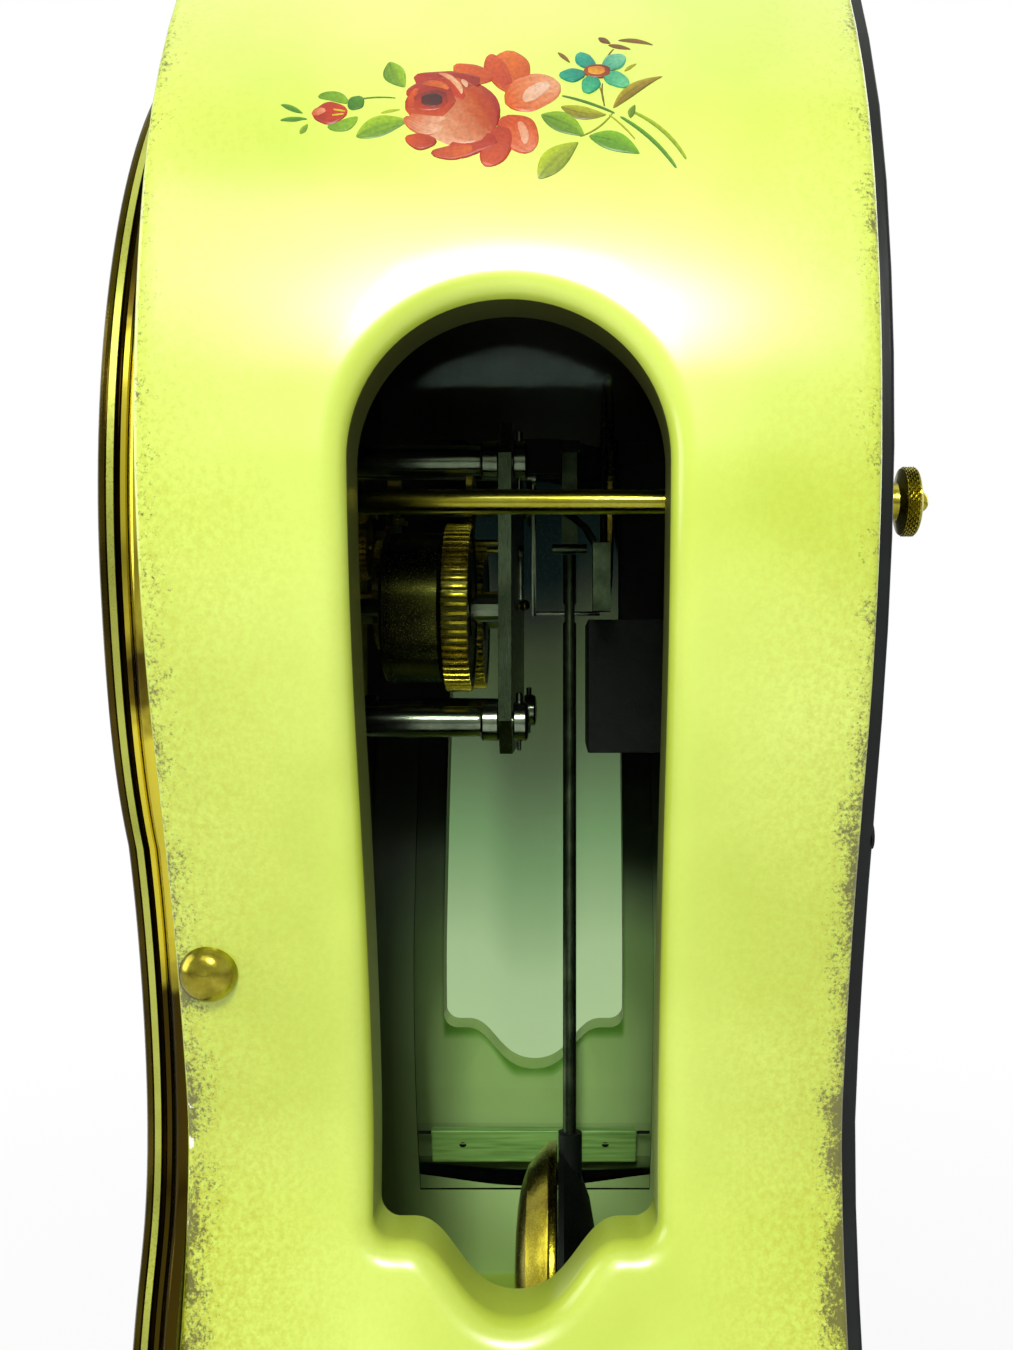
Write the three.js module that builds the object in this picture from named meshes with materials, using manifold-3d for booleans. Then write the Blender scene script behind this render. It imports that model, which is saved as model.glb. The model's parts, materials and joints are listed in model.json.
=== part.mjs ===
// Waisted bracket clock: lacquered wooden case, brass front door, spring-driven movement with a pendulum.
// Millimetres. +Z is up, -Y is the front and +X the right side. The origin is on the ground, mid-way.
import * as THREE from 'three';
import { mergeVertices } from 'three/addons/utils/BufferGeometryUtils.js';
import Module from 'manifold-3d';

const wasm = await Module();
wasm.setup();

// Case
const body = { halfWidth: 126.4, depth: 130, height: 360, wall: 16 };
const ground = { footHeight: 14, baseThick: 12, footRadius: 11, footInset: 20 };
const base = { overhang: 1.5, lip: 5, cornerRadius: 6 };
const cap = { overhang: 6.5, height: 32, lip: 3, cornerRadius: 7 };
const finial = { height: 37, radius: 11 };
const backBoard = { thick: 3.4, inset: 6 };
const fit = { seat: 0.3, running: 0.3, overrun: 8 };

// The outer line of a side wall from floor to shoulder: share of the height, share of the half width.
const sideShares = [
  [0, 0.985], [0.04, 0.955], [0.1, 0.888], [0.205, 0.767], [0.307, 0.718], [0.37, 0.75], [0.458, 0.825],
  [0.558, 0.93], [0.628, 0.981], [0.7, 1], [0.794, 0.967], [0.86, 0.906], [0.928, 0.791], [1, 0.629],
];

// Side windows: arched top, level shoulders and a lobed sill
const sideWindow = {
  width: 56.8, archDrop: 89, shoulder: 92, lobeDrop: 14, lobeHalfWidth: 21.4, lip: 5, corner: 4,
};
const windowGlass = { thick: 1.6, border: 9.4, below: 58, above: 12 };
const batten = { length: 65.6, height: 11.6, thick: 4.5, below: 33.5 };

// Brass front: a flat trim on the case and a moulded door in front of it
const trim = { thick: 3.1, width: 13, proud: 1.2 };
const door = {
  inset: 8.4, thick: 5.7, gap: 0.3, width: 14, rebate: 4, glassThick: 1.7, bottom: 12,
  cornerRadius: 16, arcTurn: 0.61, nose: 4,
};
// The door's edge below its round: share of the rise from the floor to the round, share of the half width.
const doorShares = [[0.84, 0.7], [0.676, 0.669], [0.571, 0.68], [0.456, 0.736], [0.292, 0.815], [0.158, 0.9]];
const hinge = { pinRadius: 1, radius: 2.2, length: 9, gap: 0.7, lower: 10, leaf: 1.2, leafReach: 11 };
const button = {
  radius: 5.65, dome: 4.2, body: 5, travel: 2.5, stemRadius: 1.6, height: 147.4, fromFront: 6.4,
};
const latch = { thick: 1.5, height: 7, length: 10, slotSide: 2.2, slotUp: 1.5, stemGap: 3.5 };

// Dial
const dial = { drop: 121, margin: 16.4, thick: 2.2, recess: 4.5, recessGap: 1 };
const bezel = { overlap: 5, cover: 5.5, proud: 2.4, edge: 1.2, slope: 5 };
const hands = { minuteShort: 14, hourShort: 39, thick: 0.8, boss: 4.6, gap: 0.8, width: 3, nut: 1.5 };
const frontBoard = { thick: 12.9, motionHole: 20, windingHole: 4 };
const bobWindow = { side: 26.8, bottom: 26, below: 23 };

// Movement frame
const plate = { halfWidth: 50, below: 53, above: 24, thick: 3, gap: 43.8, chamfer: 8 };
const pillar = { radius: 4.5, neck: 2, nutRadius: 4.6, nutThick: 3.7, spread: 44, low: 45.4, high: 15 };
const taperPin = { thin: 0.5, thick: 0.8, length: 13.6, from: 1.3 };
const tieRod = { fromWall: 20.4, radius: 2.5, reach: 17 };
const thumbNut = { radius: 7, collar: 4.3, discThick: 4.6, collarLength: 6.4, knurls: 24, knurlDepth: 0.4 };

// Barrels and wheel train; a module is the pitch diameter over the number of teeth
const tooth = { addendumShare: 0.7, dedendumShare: 1, rootShare: 0.42, tipShare: 0.2 };
const barrel = { spread: 30, drop: 18.5, drumRadius: 18, drumFrom: 16, wheelFrom: 30.7, faceWidth: 6 };
const arbor = { thin: 0.8, pivotGap: 0.3, winding: 2.2, square: 3.2, squareShort: 0.6 };
const great = { teeth: 60, module: 0.66 };
const leaf = { teeth: 8 };
const centre = { wheelTeeth: 40, wheelModule: 0.5, pinionTeeth: 8, pinionModule: 0.65, wheelFrom: 3.6 };
const intermediate = { teeth: 42, from: 11.1 };
const third = { teeth: 32, module: 0.5, from: 7.5 };
const wheelThick = 1.8;
const escape = { radius: 9.5, teeth: 30, rootShare: 0.84, lean: 0.5, from: 34.1, thick: 1.5 };
const strike = {
  reach: 16.5, teeth: 32, module: 0.8, from: 11.1, pins: 6, pinRadius: 0.7, pinLength: 2.4, pinShare: 0.7,
};
const fly = { turn: 1.71, radius: 6, length: 14, thick: 0.8, from: 14.6 };
const motion = { module: 0.675, cannonTeeth: 8, minuteTeeth: 24, pinionTeeth: 6, hourTeeth: 24, stud: 1.2 };
const pipe = { bore: 1.5, radius: 2.5 };

// Escapement, pendulum and gong
const pallet = { rise: 17, arm: 9.5, thick: 1.6, nib: 1.3, clear: 1.2, web: 1.5 };
const crutch = { from: 4, wire: 0.6, length: 36.3, pinTo: 21.3 };
const cock = { height: 9, width: 11, lift: 0.5, reach: 0.8, tongue: 2.6 };
const pendulum = { fromPlate: 13.4, rodRadius: 1.75, rodTop: 18.7 };
const spring = { width: 4, thick: 0.5, cross: 1.3, crossLength: 9 };
const bob = {
  height: 46, radius: 34, frontDome: 9.5, rim: 1.5, backDome: 10.3, socketRadius: 3.25, socketTop: 38,
};
const rating = { radius: 5, thick: 5, gap: 0.6, stub: 1.3, stubBelow: 6.6, knurls: 16, knurlDepth: 0.3 };
const gong = { radius: 31, rise: 13, wire: 1.1, turns: 4, pitch: 5.8, fromPlate: 23.2 };
const stand = { halfWidth: 22, front: 17.8, lower: 54, step: 21, postHalf: 8, postFront: 26.4, crown: 7 };
const hammer = {
  x: 24, rise: 8, headX: 33.5, headDrop: 11.4, headWidth: 7, headHeight: 16.2, headDepth: 4.2, wire: 1,
};

// Levels and depths worked out from the sizes above
const floorTop = ground.footHeight + ground.baseThick;
const bodyTop = floorTop + body.height;
const dialHeight = bodyTop - dial.drop;
const dialRadius = body.halfWidth - body.wall - dial.margin;
const doorRadius = body.halfWidth - door.inset;
const tieRodOut = body.halfWidth - body.wall - tieRod.fromWall;
const lowerShares = sideShares.slice(0, sideShares.length / 2);
const waistHalf = body.halfWidth * Math.min(...lowerShares.map(([, out]) => out));
const footHalf = body.halfWidth * sideShares[0][1];
const topHalf = body.halfWidth * sideShares[sideShares.length - 1][1];
const baseHalf = footHalf + base.overhang;
const bobDrop = dialHeight + pallet.rise - floorTop - bob.height;
const rodDrop = bobDrop - bob.socketTop;
const frontReach = trim.thick + door.gap + door.thick;
const caseFront = -(frontReach + body.depth + tieRod.reach) / 2 + frontReach;
const caseBack = caseFront + body.depth;
const caseMiddle = (caseFront + caseBack) / 2;
const trimFront = caseFront - trim.thick;
const doorBack = trimFront - door.gap;
const doorFront = doorBack - door.thick;
const frontPlateFront = caseFront + frontBoard.thick;
const frontPlateBack = frontPlateFront + plate.thick;
const backPlateFront = frontPlateBack + plate.gap;
const backPlateBack = backPlateFront + plate.thick;

// Finishes
const paint = (color, roughness, metalness = 0) =>
  new THREE.MeshStandardMaterial({ color, roughness, metalness, flatShading: true });
const glassLook = () => new THREE.MeshStandardMaterial({
  color: 0xdfeee6, roughness: 0.05, metalness: 0, transparent: true, opacity: 0.3, flatShading: true,
});
const lacquer = () => paint(0xcfe070, 0.3);
const blackLacquer = () => paint(0x14171a, 0.35);
const brass = () => paint(0xc9a23a, 0.28, 1);
const steel = () => paint(0x8e9596, 0.3, 1);
const darkSteel = () => paint(0x3c4442, 0.4, 1);

const clock = new THREE.Group();

// Closed solid from a geometry: shared vertices merged, faces without area dropped, faces turned outwards
function tidy(geometry) {
  const bare = geometry.clone();
  bare.deleteAttribute('normal');
  bare.deleteAttribute('uv');
  const merged = mergeVertices(bare, 1e-4);
  const index = merged.index.array;
  const place = merged.attributes.position;
  const kept = [];
  let volume = 0;
  const a = new THREE.Vector3();
  const b = new THREE.Vector3();
  const c = new THREE.Vector3();
  for (let i = 0; i < index.length; i += 3) {
    const [p, q, r] = [index[i], index[i + 1], index[i + 2]];
    if (p === q || q === r || r === p) continue;
    kept.push(p, q, r);
    a.fromBufferAttribute(place, p);
    b.fromBufferAttribute(place, q);
    c.fromBufferAttribute(place, r);
    volume += a.dot(b.cross(c));
  }
  if (volume < 0) kept.reverse();
  merged.setIndex(kept);
  return merged;
}

function toSolid(geometry) {
  const clean = tidy(geometry);
  return new wasm.Manifold(new wasm.Mesh({
    numProp: 3,
    vertProperties: new Float32Array(clean.attributes.position.array),
    triVerts: new Uint32Array(clean.index.array),
  }));
}

function toGeometry(solid) {
  const mesh = solid.getMesh();
  const geometry = new THREE.BufferGeometry();
  geometry.setAttribute('position', new THREE.BufferAttribute(mesh.vertProperties, 3));
  geometry.setIndex(new THREE.BufferAttribute(mesh.triVerts, 1));
  return geometry;
}

const join = (...parts) => toGeometry(parts.map(toSolid).reduce((whole, part) => whole.add(part)));
const cut = (from, ...tools) =>
  toGeometry(tools.map(toSolid).reduce((whole, tool) => whole.subtract(tool), toSolid(from)));

function add(name, geometry, material, x = 0, y = 0, z = 0) {
  const shape = tidy(geometry);
  shape.computeVertexNormals();
  const mesh = new THREE.Mesh(shape, material);
  mesh.name = name;
  mesh.position.set(x, y, z);
  clock.add(mesh);
  return mesh;
}

// A front-view shape (x, z) pulled from one depth to another
function pulledBack(shape, from, to, steps = 12) {
  const how = { depth: to - from, bevelEnabled: false, curveSegments: steps };
  const solid = new THREE.ExtrudeGeometry(shape, how);
  return solid.rotateX(Math.PI / 2).translate(0, to, 0);
}

const corners = (pairs) => new THREE.Shape(pairs.map(([u, v]) => new THREE.Vector2(u, v)));
const block = (x0, x1, y0, y1, z0, z1) =>
  new THREE.BoxGeometry(x1 - x0, y1 - y0, z1 - z0)
    .translate((x0 + x1) / 2, (y0 + y1) / 2, (z0 + z1) / 2);

// Round pieces: along the depth, upright, and across; a profile is a list of (radius, place) pairs
const turned = (profile, sides) =>
  new THREE.LatheGeometry(profile.map(([r, at]) => new THREE.Vector2(r, at)), sides);
const turnedUp = (profile, sides) => turned(profile, sides).rotateX(Math.PI / 2);
const turnedAcross = (profile, sides) => turned(profile, sides).rotateZ(-Math.PI / 2);
const shaft = (radius, from, to, sides = 12, x = 0, z = 0) =>
  new THREE.CylinderGeometry(radius, radius, to - from, sides).translate(x, (from + to) / 2, z);
const postUp = (radius, from, to, sides = 12, x = 0, y = 0) =>
  new THREE.CylinderGeometry(radius, radius, to - from, sides)
    .rotateX(Math.PI / 2).translate(x, y, (from + to) / 2);
const postAcross = (radius, from, to, sides = 12, y = 0, z = 0) =>
  new THREE.CylinderGeometry(radius, radius, to - from, sides)
    .rotateZ(-Math.PI / 2).translate((from + to) / 2, y, z);

// Rings of equal length joined into one skin, closed round each ring; ends are capped or joined
function skin(rings, endless, flat) {
  const count = rings[0].length;
  const positions = rings.flat().flatMap((p) => [p.x, p.y, p.z]);
  const index = [];
  const last = endless ? rings.length : rings.length - 1;
  for (let i = 0; i < last; i += 1) {
    const next = (i + 1) % rings.length;
    for (let j = 0; j < count; j += 1) {
      const k = (j + 1) % count;
      index.push(i * count + j, next * count + j, i * count + k);
      index.push(next * count + j, next * count + k, i * count + k);
    }
  }
  if (!endless) {
    const faces = THREE.ShapeUtils.triangulateShape(rings[0].map(flat), []);
    const top = (rings.length - 1) * count;
    faces.forEach(([a, b, c]) => index.push(a, b, c, top + a, top + c, top + b));
  }
  const geometry = new THREE.BufferGeometry();
  geometry.setAttribute('position', new THREE.Float32BufferAttribute(positions, 3));
  geometry.setIndex(index);
  return geometry;
}

// A closed outline moved inwards (to the left of its direction of travel) by a distance
function inset(outline, distance) {
  const count = outline.length;
  return outline.map((point, i) => {
    const before = outline[(i + count - 1) % count];
    const after = outline[(i + 1) % count];
    const inward = point.clone().sub(before).normalize();
    const onward = after.clone().sub(point).normalize();
    const side = new THREE.Vector2(-inward.y - onward.y, inward.x + onward.x).normalize();
    const lean = side.dot(new THREE.Vector2(-inward.y, inward.x));
    return point.clone().addScaledVector(side, distance / lean);
  });
}

// A rounded rectangle in plan at one level
function planRing(halfWidth, y0, y1, radius, z) {
  const shape = new THREE.Shape();
  shape.absarc(halfWidth - radius, y1 - radius, radius, 0, Math.PI / 2);
  shape.absarc(-halfWidth + radius, y1 - radius, radius, Math.PI / 2, Math.PI);
  shape.absarc(-halfWidth + radius, y0 + radius, radius, Math.PI, Math.PI * 1.5);
  shape.absarc(halfWidth - radius, y0 + radius, radius, Math.PI * 1.5, Math.PI * 2);
  return shape.getPoints(3).map((p) => new THREE.Vector3(p.x, p.y, z));
}

// Case walls
const sideCurve = new THREE.CatmullRomCurve3(sideShares.map(([up, out]) =>
  new THREE.Vector3(out * body.halfWidth, 0, floorTop + up * body.height)), false, 'centripetal');
const sidePoints = sideCurve.getPoints(60);

function outerHalfWidth(z) {
  const above = Math.max(1, sidePoints.findIndex((p) => p.z >= z - 1e-6));
  const [low, high] = [sidePoints[above - 1], sidePoints[above]];
  return THREE.MathUtils.lerp(low.x, high.x, (z - low.z) / (high.z - low.z));
}

function innerHalfWidth(z, wall = body.wall) {
  const reach = body.wall / 8;
  const [low, high] = [Math.max(floorTop, z - reach), Math.min(bodyTop, z + reach)];
  const slope = (outerHalfWidth(high) - outerHalfWidth(low)) / (high - low);
  return outerHalfWidth(z) - wall * Math.sqrt(1 + slope * slope);
}

const levels = (from, to, count) =>
  Array.from({ length: count + 1 }, (_, i) => THREE.MathUtils.lerp(from, to, i / count));

// The side window's outline in side view, counter-clockwise from the right shoulder
const windowMiddle = caseMiddle;
function windowOutline() {
  const half = sideWindow.width / 2;
  const springing = bodyTop - sideWindow.archDrop - half;
  const shoulder = floorTop + sideWindow.shoulder;
  const lobe = shoulder - sideWindow.lobeDrop;
  const wide = sideWindow.lobeHalfWidth;
  const { corner } = sideWindow;
  const shape = new THREE.Shape();
  shape.absarc(0, springing, half, 0, Math.PI);
  shape.lineTo(-half, shoulder + corner);
  shape.bezierCurveTo(-half, shoulder + corner / 2, -half + corner / 2, shoulder, -half + corner, shoulder);
  shape.lineTo(-wide, shoulder);
  shape.bezierCurveTo(-wide * 0.6, shoulder, -wide * 0.55, lobe, 0, lobe);
  shape.bezierCurveTo(wide * 0.55, lobe, wide * 0.6, shoulder, wide, shoulder);
  shape.lineTo(half - corner, shoulder);
  shape.bezierCurveTo(half - corner / 2, shoulder, half, shoulder + corner / 2, half, shoulder + corner);
  return shape.getPoints(6).map((p) => new THREE.Vector2(p.x + windowMiddle, p.y));
}

// The cutter for a side window, with a rounded lip that follows the bowed wall
function windowCutter() {
  const outline = windowOutline();
  const lip = sideWindow.lip;
  const stations = [
    { out: 0, x: () => body.halfWidth - 4 * body.wall },
    { out: 0, x: (z) => outerHalfWidth(z) - lip },
    { out: lip * 0.3, x: (z) => outerHalfWidth(z) - lip * 0.3 },
    { out: lip, x: (z) => outerHalfWidth(z) + fit.seat },
    { out: lip, x: () => body.halfWidth + fit.overrun },
  ];
  const rings = stations.map(({ out, x }) =>
    inset(outline, -out).map((p) => new THREE.Vector3(x(p.y), p.x, p.y)));
  return skin(rings, false, (p) => new THREE.Vector2(p.y, p.z));
}

const buttonX = () => outerHalfWidth(floorTop + button.height);
const buttonY = caseFront + button.fromFront;
const latchX = () => outerHalfWidth(floorTop + button.height) - button.body - button.stemRadius * 6;

// The mortise for the door's catch, open at the front edge
const mortise = () => block(
  latchX() - latch.slotSide, latchX() + latch.thick + latch.slotSide,
  trimFront - fit.overrun, caseFront + latch.length,
  floorTop + button.height - latch.height / 2 - latch.slotUp,
  floorTop + button.height + latch.height / 2 + latch.slotUp,
);

function sideWall(side) {
  const rise = levels(floorTop, bodyTop, 22);
  const outline = [
    ...rise.map((z) => [outerHalfWidth(z), z]),
    ...rise.map((z) => [innerHalfWidth(z), z]).reverse(),
  ];
  let wall = cut(pulledBack(corners(outline), caseFront, caseBack), windowCutter());
  if (side > 0) {
    const z = floorTop + button.height;
    const inner = buttonX() - button.body;
    const sink = postAcross(button.radius + fit.running, inner, buttonX() + fit.overrun, 24, buttonY, z);
    const bore = postAcross(button.stemRadius + fit.running, latchX(), buttonX(), 12, buttonY, z);
    wall = cut(wall, sink, bore, mortise());
    return wall;
  }
  return wall.scale(-1, 1, 1);
}

// Glass that follows the inside of the wall behind a side window
function sideGlass(side) {
  const inner = body.wall + fit.seat;
  const low = floorTop + sideWindow.shoulder - windowGlass.below;
  const high = bodyTop - sideWindow.archDrop + windowGlass.above;
  const rise = levels(low, high, 20);
  const outline = [
    ...rise.map((z) => [innerHalfWidth(z, inner), z]),
    ...rise.map((z) => [innerHalfWidth(z, inner + windowGlass.thick), z]).reverse(),
  ];
  const half = sideWindow.width / 2 + windowGlass.border;
  return pulledBack(corners(outline), windowMiddle - half, windowMiddle + half).scale(side, 1, 1);
}

// The wooden batten that holds the foot of the glass
function glassBatten(side) {
  const inner = body.wall + windowGlass.thick + 2 * fit.seat;
  const high = floorTop + sideWindow.shoulder - batten.below;
  const rise = levels(high - batten.height, high, 2);
  const outline = [
    ...rise.map((z) => [innerHalfWidth(z, inner), z]),
    ...rise.map((z) => [innerHalfWidth(z, inner + batten.thick), z]).reverse(),
  ];
  const half = batten.length / 2;
  return pulledBack(corners(outline), windowMiddle - half, windowMiddle + half).scale(side, 1, 1);
}

function closedFront(wallExtra) {
  const rise = levels(floorTop, bodyTop, 22);
  const right = rise.map((z) => [innerHalfWidth(z, body.wall + wallExtra), z]);
  return corners([...right, ...right.map(([x, z]) => [-x, z]).reverse()]);
}

// The front board behind the dial, with its recess, motion-work hole, winding holes and bob window
function frontBoardSolid() {
  const board = pulledBack(closedFront(fit.seat), caseFront, frontPlateFront);
  const sunk = dialRadius + dial.recessGap;
  const recess = shaft(sunk, caseFront - fit.overrun, caseFront + dial.recess, 40, 0, dialHeight);
  const hole = shaft(frontBoard.motionHole, caseFront, frontPlateFront + fit.overrun, 28, 0, dialHeight);
  const winding = [-1, 1].map((side) => shaft(frontBoard.windingHole, caseFront,
    frontPlateFront + fit.overrun, 14, side * barrel.spread, dialHeight - barrel.drop));
  const view = new THREE.Shape();
  const half = waistHalf - body.wall - bobWindow.side;
  const springing = dialHeight - dialRadius - bobWindow.below - half / 2;
  view.moveTo(-half, floorTop + bobWindow.bottom);
  view.lineTo(half, floorTop + bobWindow.bottom);
  view.absellipse(0, springing, half, half / 2, 0, Math.PI);
  const opening = pulledBack(view, caseFront - fit.overrun, frontPlateFront + fit.overrun);
  return cut(board, recess, hole, ...winding, opening);
}

function backBoardSolid() {
  const rise = levels(floorTop, bodyTop, 22);
  const inset = (z) => backBoard.inset * (outerHalfWidth(z) / body.halfWidth);
  const right = rise.map((z) => [outerHalfWidth(z) - inset(z), z]);
  const outline = corners([...right, ...right.map(([x, z]) => [-x, z]).reverse()]);
  const board = pulledBack(outline, caseBack, caseBack + backBoard.thick);
  const hole = shaft(tieRod.radius + fit.running, caseBack - fit.overrun,
    caseBack + backBoard.thick + fit.overrun, 16, tieRodOut, dialHeight);
  return cut(board, hole);
}

const capShares = [
  [0, 0.965], [0.1, 1], [0.24, 0.985], [0.36, 0.83], [0.56, 0.62], [0.8, 0.5], [0.9, 0.53], [1, 0.53],
];
function capSolid() {
  const rings = capShares.map(([up, out]) => {
    const half = body.depth / 2 + cap.lip;
    return planRing(out * (topHalf + cap.overhang), caseMiddle - out * half, caseMiddle + out * half,
      cap.cornerRadius, bodyTop + up * cap.height);
  });
  return skin(rings, false, (p) => new THREE.Vector2(p.x, p.y));
}

const baseShares = [[0, 0.3], [0.3, 1], [0.62, 1], [0.8, 0.45], [1, 0]];
function baseSolid() {
  const narrow = footHalf + fit.seat;
  const rings = baseShares.map(([up, out]) => planRing(
    THREE.MathUtils.lerp(narrow, baseHalf, out),
    caseFront - base.lip * out, caseBack + backBoard.thick + fit.seat + base.lip * out / 2,
    base.cornerRadius, ground.footHeight + up * ground.baseThick,
  ));
  return skin(rings, false, (p) => new THREE.Vector2(p.x, p.y));
}

const footShares = [
  [0, 0], [0.72, 0], [0.9, 0.1], [1, 0.35], [0.86, 0.62], [0.5, 0.74], [0.5, 0.84], [0.8, 0.88], [0.8, 1],
  [0, 1],
];
const footSolid = () =>
  turnedUp(footShares.map(([out, up]) => [out * ground.footRadius, up * ground.footHeight]), 8);

const finialShares = [
  [0, 0], [0.82, 0], [0.82, 0.08], [0.4, 0.13], [0.32, 0.22], [0.62, 0.28], [0.95, 0.4], [1, 0.5],
  [0.86, 0.6], [0.46, 0.67], [0.4, 0.72], [0.6, 0.76], [0.42, 0.86], [0.16, 0.96], [0, 1],
];
const finialSolid = () =>
  turnedUp(finialShares.map(([out, up]) => [out * finial.radius, up * finial.height]), 10);

// Door outline in front view, counter-clockwise from the bottom left corner
function doorOutline() {
  const foot = floorTop + door.bottom;
  const turn = door.arcTurn;
  const arcEnd = new THREE.Vector3(doorRadius * Math.cos(turn), dialHeight - doorRadius * Math.sin(turn), 0);
  const lower = doorShares.map(([up, out]) =>
    new THREE.Vector3(out * body.halfWidth, THREE.MathUtils.lerp(floorTop, arcEnd.y, up), 0));
  const wide = lower[lower.length - 1].x;
  const corner = [
    new THREE.Vector3(wide - door.cornerRadius * 0.12, foot + door.cornerRadius * 0.45, 0),
    new THREE.Vector3(wide - door.cornerRadius * 0.45, foot + door.cornerRadius * 0.1, 0),
    new THREE.Vector3(wide - door.cornerRadius, foot, 0),
  ];
  const flank = new THREE.CatmullRomCurve3([arcEnd, ...lower], false, 'centripetal').getPoints(9);
  const right = [...flank, ...corner].reverse().map((p) => new THREE.Vector2(p.x, p.y));
  const steps = 11;
  for (let i = 1; i < steps; i += 1) {
    const angle = THREE.MathUtils.lerp(-turn, Math.PI / 2, i / steps);
    right.push(new THREE.Vector2(doorRadius * Math.cos(angle), dialHeight + doorRadius * Math.sin(angle)));
  }
  const top = new THREE.Vector2(0, dialHeight + doorRadius);
  const left = right.map((p) => new THREE.Vector2(-p.x, p.y)).reverse();
  return [...right, top, ...left];
}

// A band swept round an outline from a section of (distance inwards, depth) pairs
function band(outline, section) {
  const rings = section.map(([inwards, y]) =>
    inset(outline, inwards).map((p) => new THREE.Vector3(p.x, y, p.y)));
  return skin(rings, true);
}

const hingeHeights = [dialHeight, floorTop + hinge.lower];
const hingeX = -(doorRadius + hinge.radius + hinge.gap);
const hingeY = trimFront - hinge.radius;

function doorFrameSolid() {
  const d = door;
  const bead = d.thick * 0.35;
  const section = [
    [0, doorBack], [0, doorBack - bead], [d.nose * 0.2, doorFront + bead * 0.5], [d.nose, doorFront],
    [d.nose * 1.8, doorFront + bead * 0.5], [d.nose * 2.1, doorFront + bead * 1.2],
    [d.width, doorFront + bead * 1.2], [d.width, doorBack - d.glassThick - fit.seat * 2],
    [d.width - d.rebate, doorBack - d.glassThick - fit.seat * 2], [d.width - d.rebate, doorBack],
  ];
  const frame = band(doorOutline(), section);
  const bore = hinge.pinRadius + fit.running;
  const knuckles = hingeHeights.flatMap((z) => [
    cut(
      postUp(hinge.radius, z + fit.running, z + hinge.length, 14, hingeX, hingeY),
      postUp(bore, z - fit.overrun, z + hinge.length + fit.overrun, 10, hingeX, hingeY),
    ),
    block(hingeX + hinge.pinRadius * 1.8, hingeX + hinge.leafReach, doorBack - 2 * hinge.leaf, doorBack,
      z + fit.running, z + hinge.length),
  ]);
  const catchLow = floorTop + button.height - latch.height / 2;
  const tongue = block(latchX(), latchX() + latch.thick, doorBack,
    caseFront + latch.length * 0.85, catchLow, catchLow + latch.height);
  return { frame: join(frame, ...knuckles), tongue };
}

// The case's half of a hinge: a knuckle with its pin and a leaf back to the side wall's front edge
function caseHinge(z) {
  const knuckle = postUp(hinge.radius, z - hinge.length, z, 14, hingeX, hingeY);
  const top = z + hinge.length + hinge.pinRadius;
  const pin = postUp(hinge.pinRadius, z - hinge.length / 2, top, 10, hingeX, hingeY);
  const half = hinge.leaf / 2;
  const leaf = block(hingeX - half, hingeX + half, hingeY, caseFront, z - hinge.length, z);
  return join(knuckle, pin, leaf);
}

function trimSolid() {
  const section = [
    [-trim.proud, caseFront], [-trim.proud, trimFront + trim.proud], [0, trimFront],
    [trim.width, trimFront], [trim.width, caseFront],
  ];
  return cut(band(doorOutline(), section), mortise());
}

function doorGlassSolid() {
  const outline = inset(doorOutline(), door.width - door.rebate + fit.seat);
  const back = doorBack - fit.seat;
  return pulledBack(new THREE.Shape(outline), back - door.glassThick, back);
}

function dialPlateSolid() {
  const plateBack = caseFront + dial.recess;
  const disc = shaft(dialRadius, plateBack - dial.thick, plateBack, 40, 0, dialHeight);
  const clear = pipe.radius + fit.running;
  const centreHole = shaft(clear, plateBack - fit.overrun, plateBack + fit.overrun, 16, 0, dialHeight);
  const winding = [-1, 1].map((side) => shaft(arbor.square, plateBack - fit.overrun,
    plateBack + fit.overrun, 16, side * barrel.spread, dialHeight - barrel.drop));
  return cut(disc, centreHole, ...winding);
}

function bezelSolid() {
  const dialFace = caseFront + dial.recess - dial.thick;
  const front = caseFront - bezel.proud;
  const flange = dialRadius + dial.recessGap / 2;
  const inner = dialRadius - bezel.cover;
  const outer = dialRadius + bezel.overlap;
  return turned([
    [inner, dialFace - fit.seat], [flange, dialFace - fit.seat], [flange, caseFront], [outer, caseFront],
    [outer - bezel.edge, front],
    [inner + bezel.slope, front],
    [inner, dialFace - fit.seat],
  ], 34).translate(0, 0, dialHeight);
}

// The release button slides in the right side wall; its stem ends short of the catch
function buttonSolid() {
  const x = buttonX();
  const inner = x - button.body + button.travel + fit.running;
  const stemEnd = latchX() + latch.thick + latch.stemGap;
  return turnedAcross([
    [0, stemEnd], [button.stemRadius, stemEnd], [button.stemRadius, inner], [button.radius, inner],
    [button.radius, x + button.dome * 0.15], [button.radius * 0.93, x + button.dome * 0.4],
    [button.radius * 0.72, x + button.dome * 0.75], [button.radius * 0.4, x + button.dome * 0.95],
    [0, x + button.dome],
  ], 16).translate(0, buttonY, floorTop + button.height);
}

// Axes of the movement in front view
const at = (x, up) => new THREE.Vector2(x, dialHeight + up);
const centreAt = at(0, 0);
const barrelAt = (side) => at(side * barrel.spread, -barrel.drop);
const palletAt = at(0, pallet.rise);
const pitch = (teeth, module) => teeth * module / 2;

// The point at two distances from two others, on the left (+1) or right (-1) of the way from a to b
function meeting(a, fromA, b, fromB, side) {
  const apart = a.distanceTo(b);
  const along = (fromA ** 2 - fromB ** 2 + apart ** 2) / (2 * apart);
  const off = Math.sqrt(fromA ** 2 - along ** 2) * side;
  const way = b.clone().sub(a).divideScalar(apart);
  return new THREE.Vector2(a.x + way.x * along - way.y * off, a.y + way.y * along + way.x * off);
}

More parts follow.
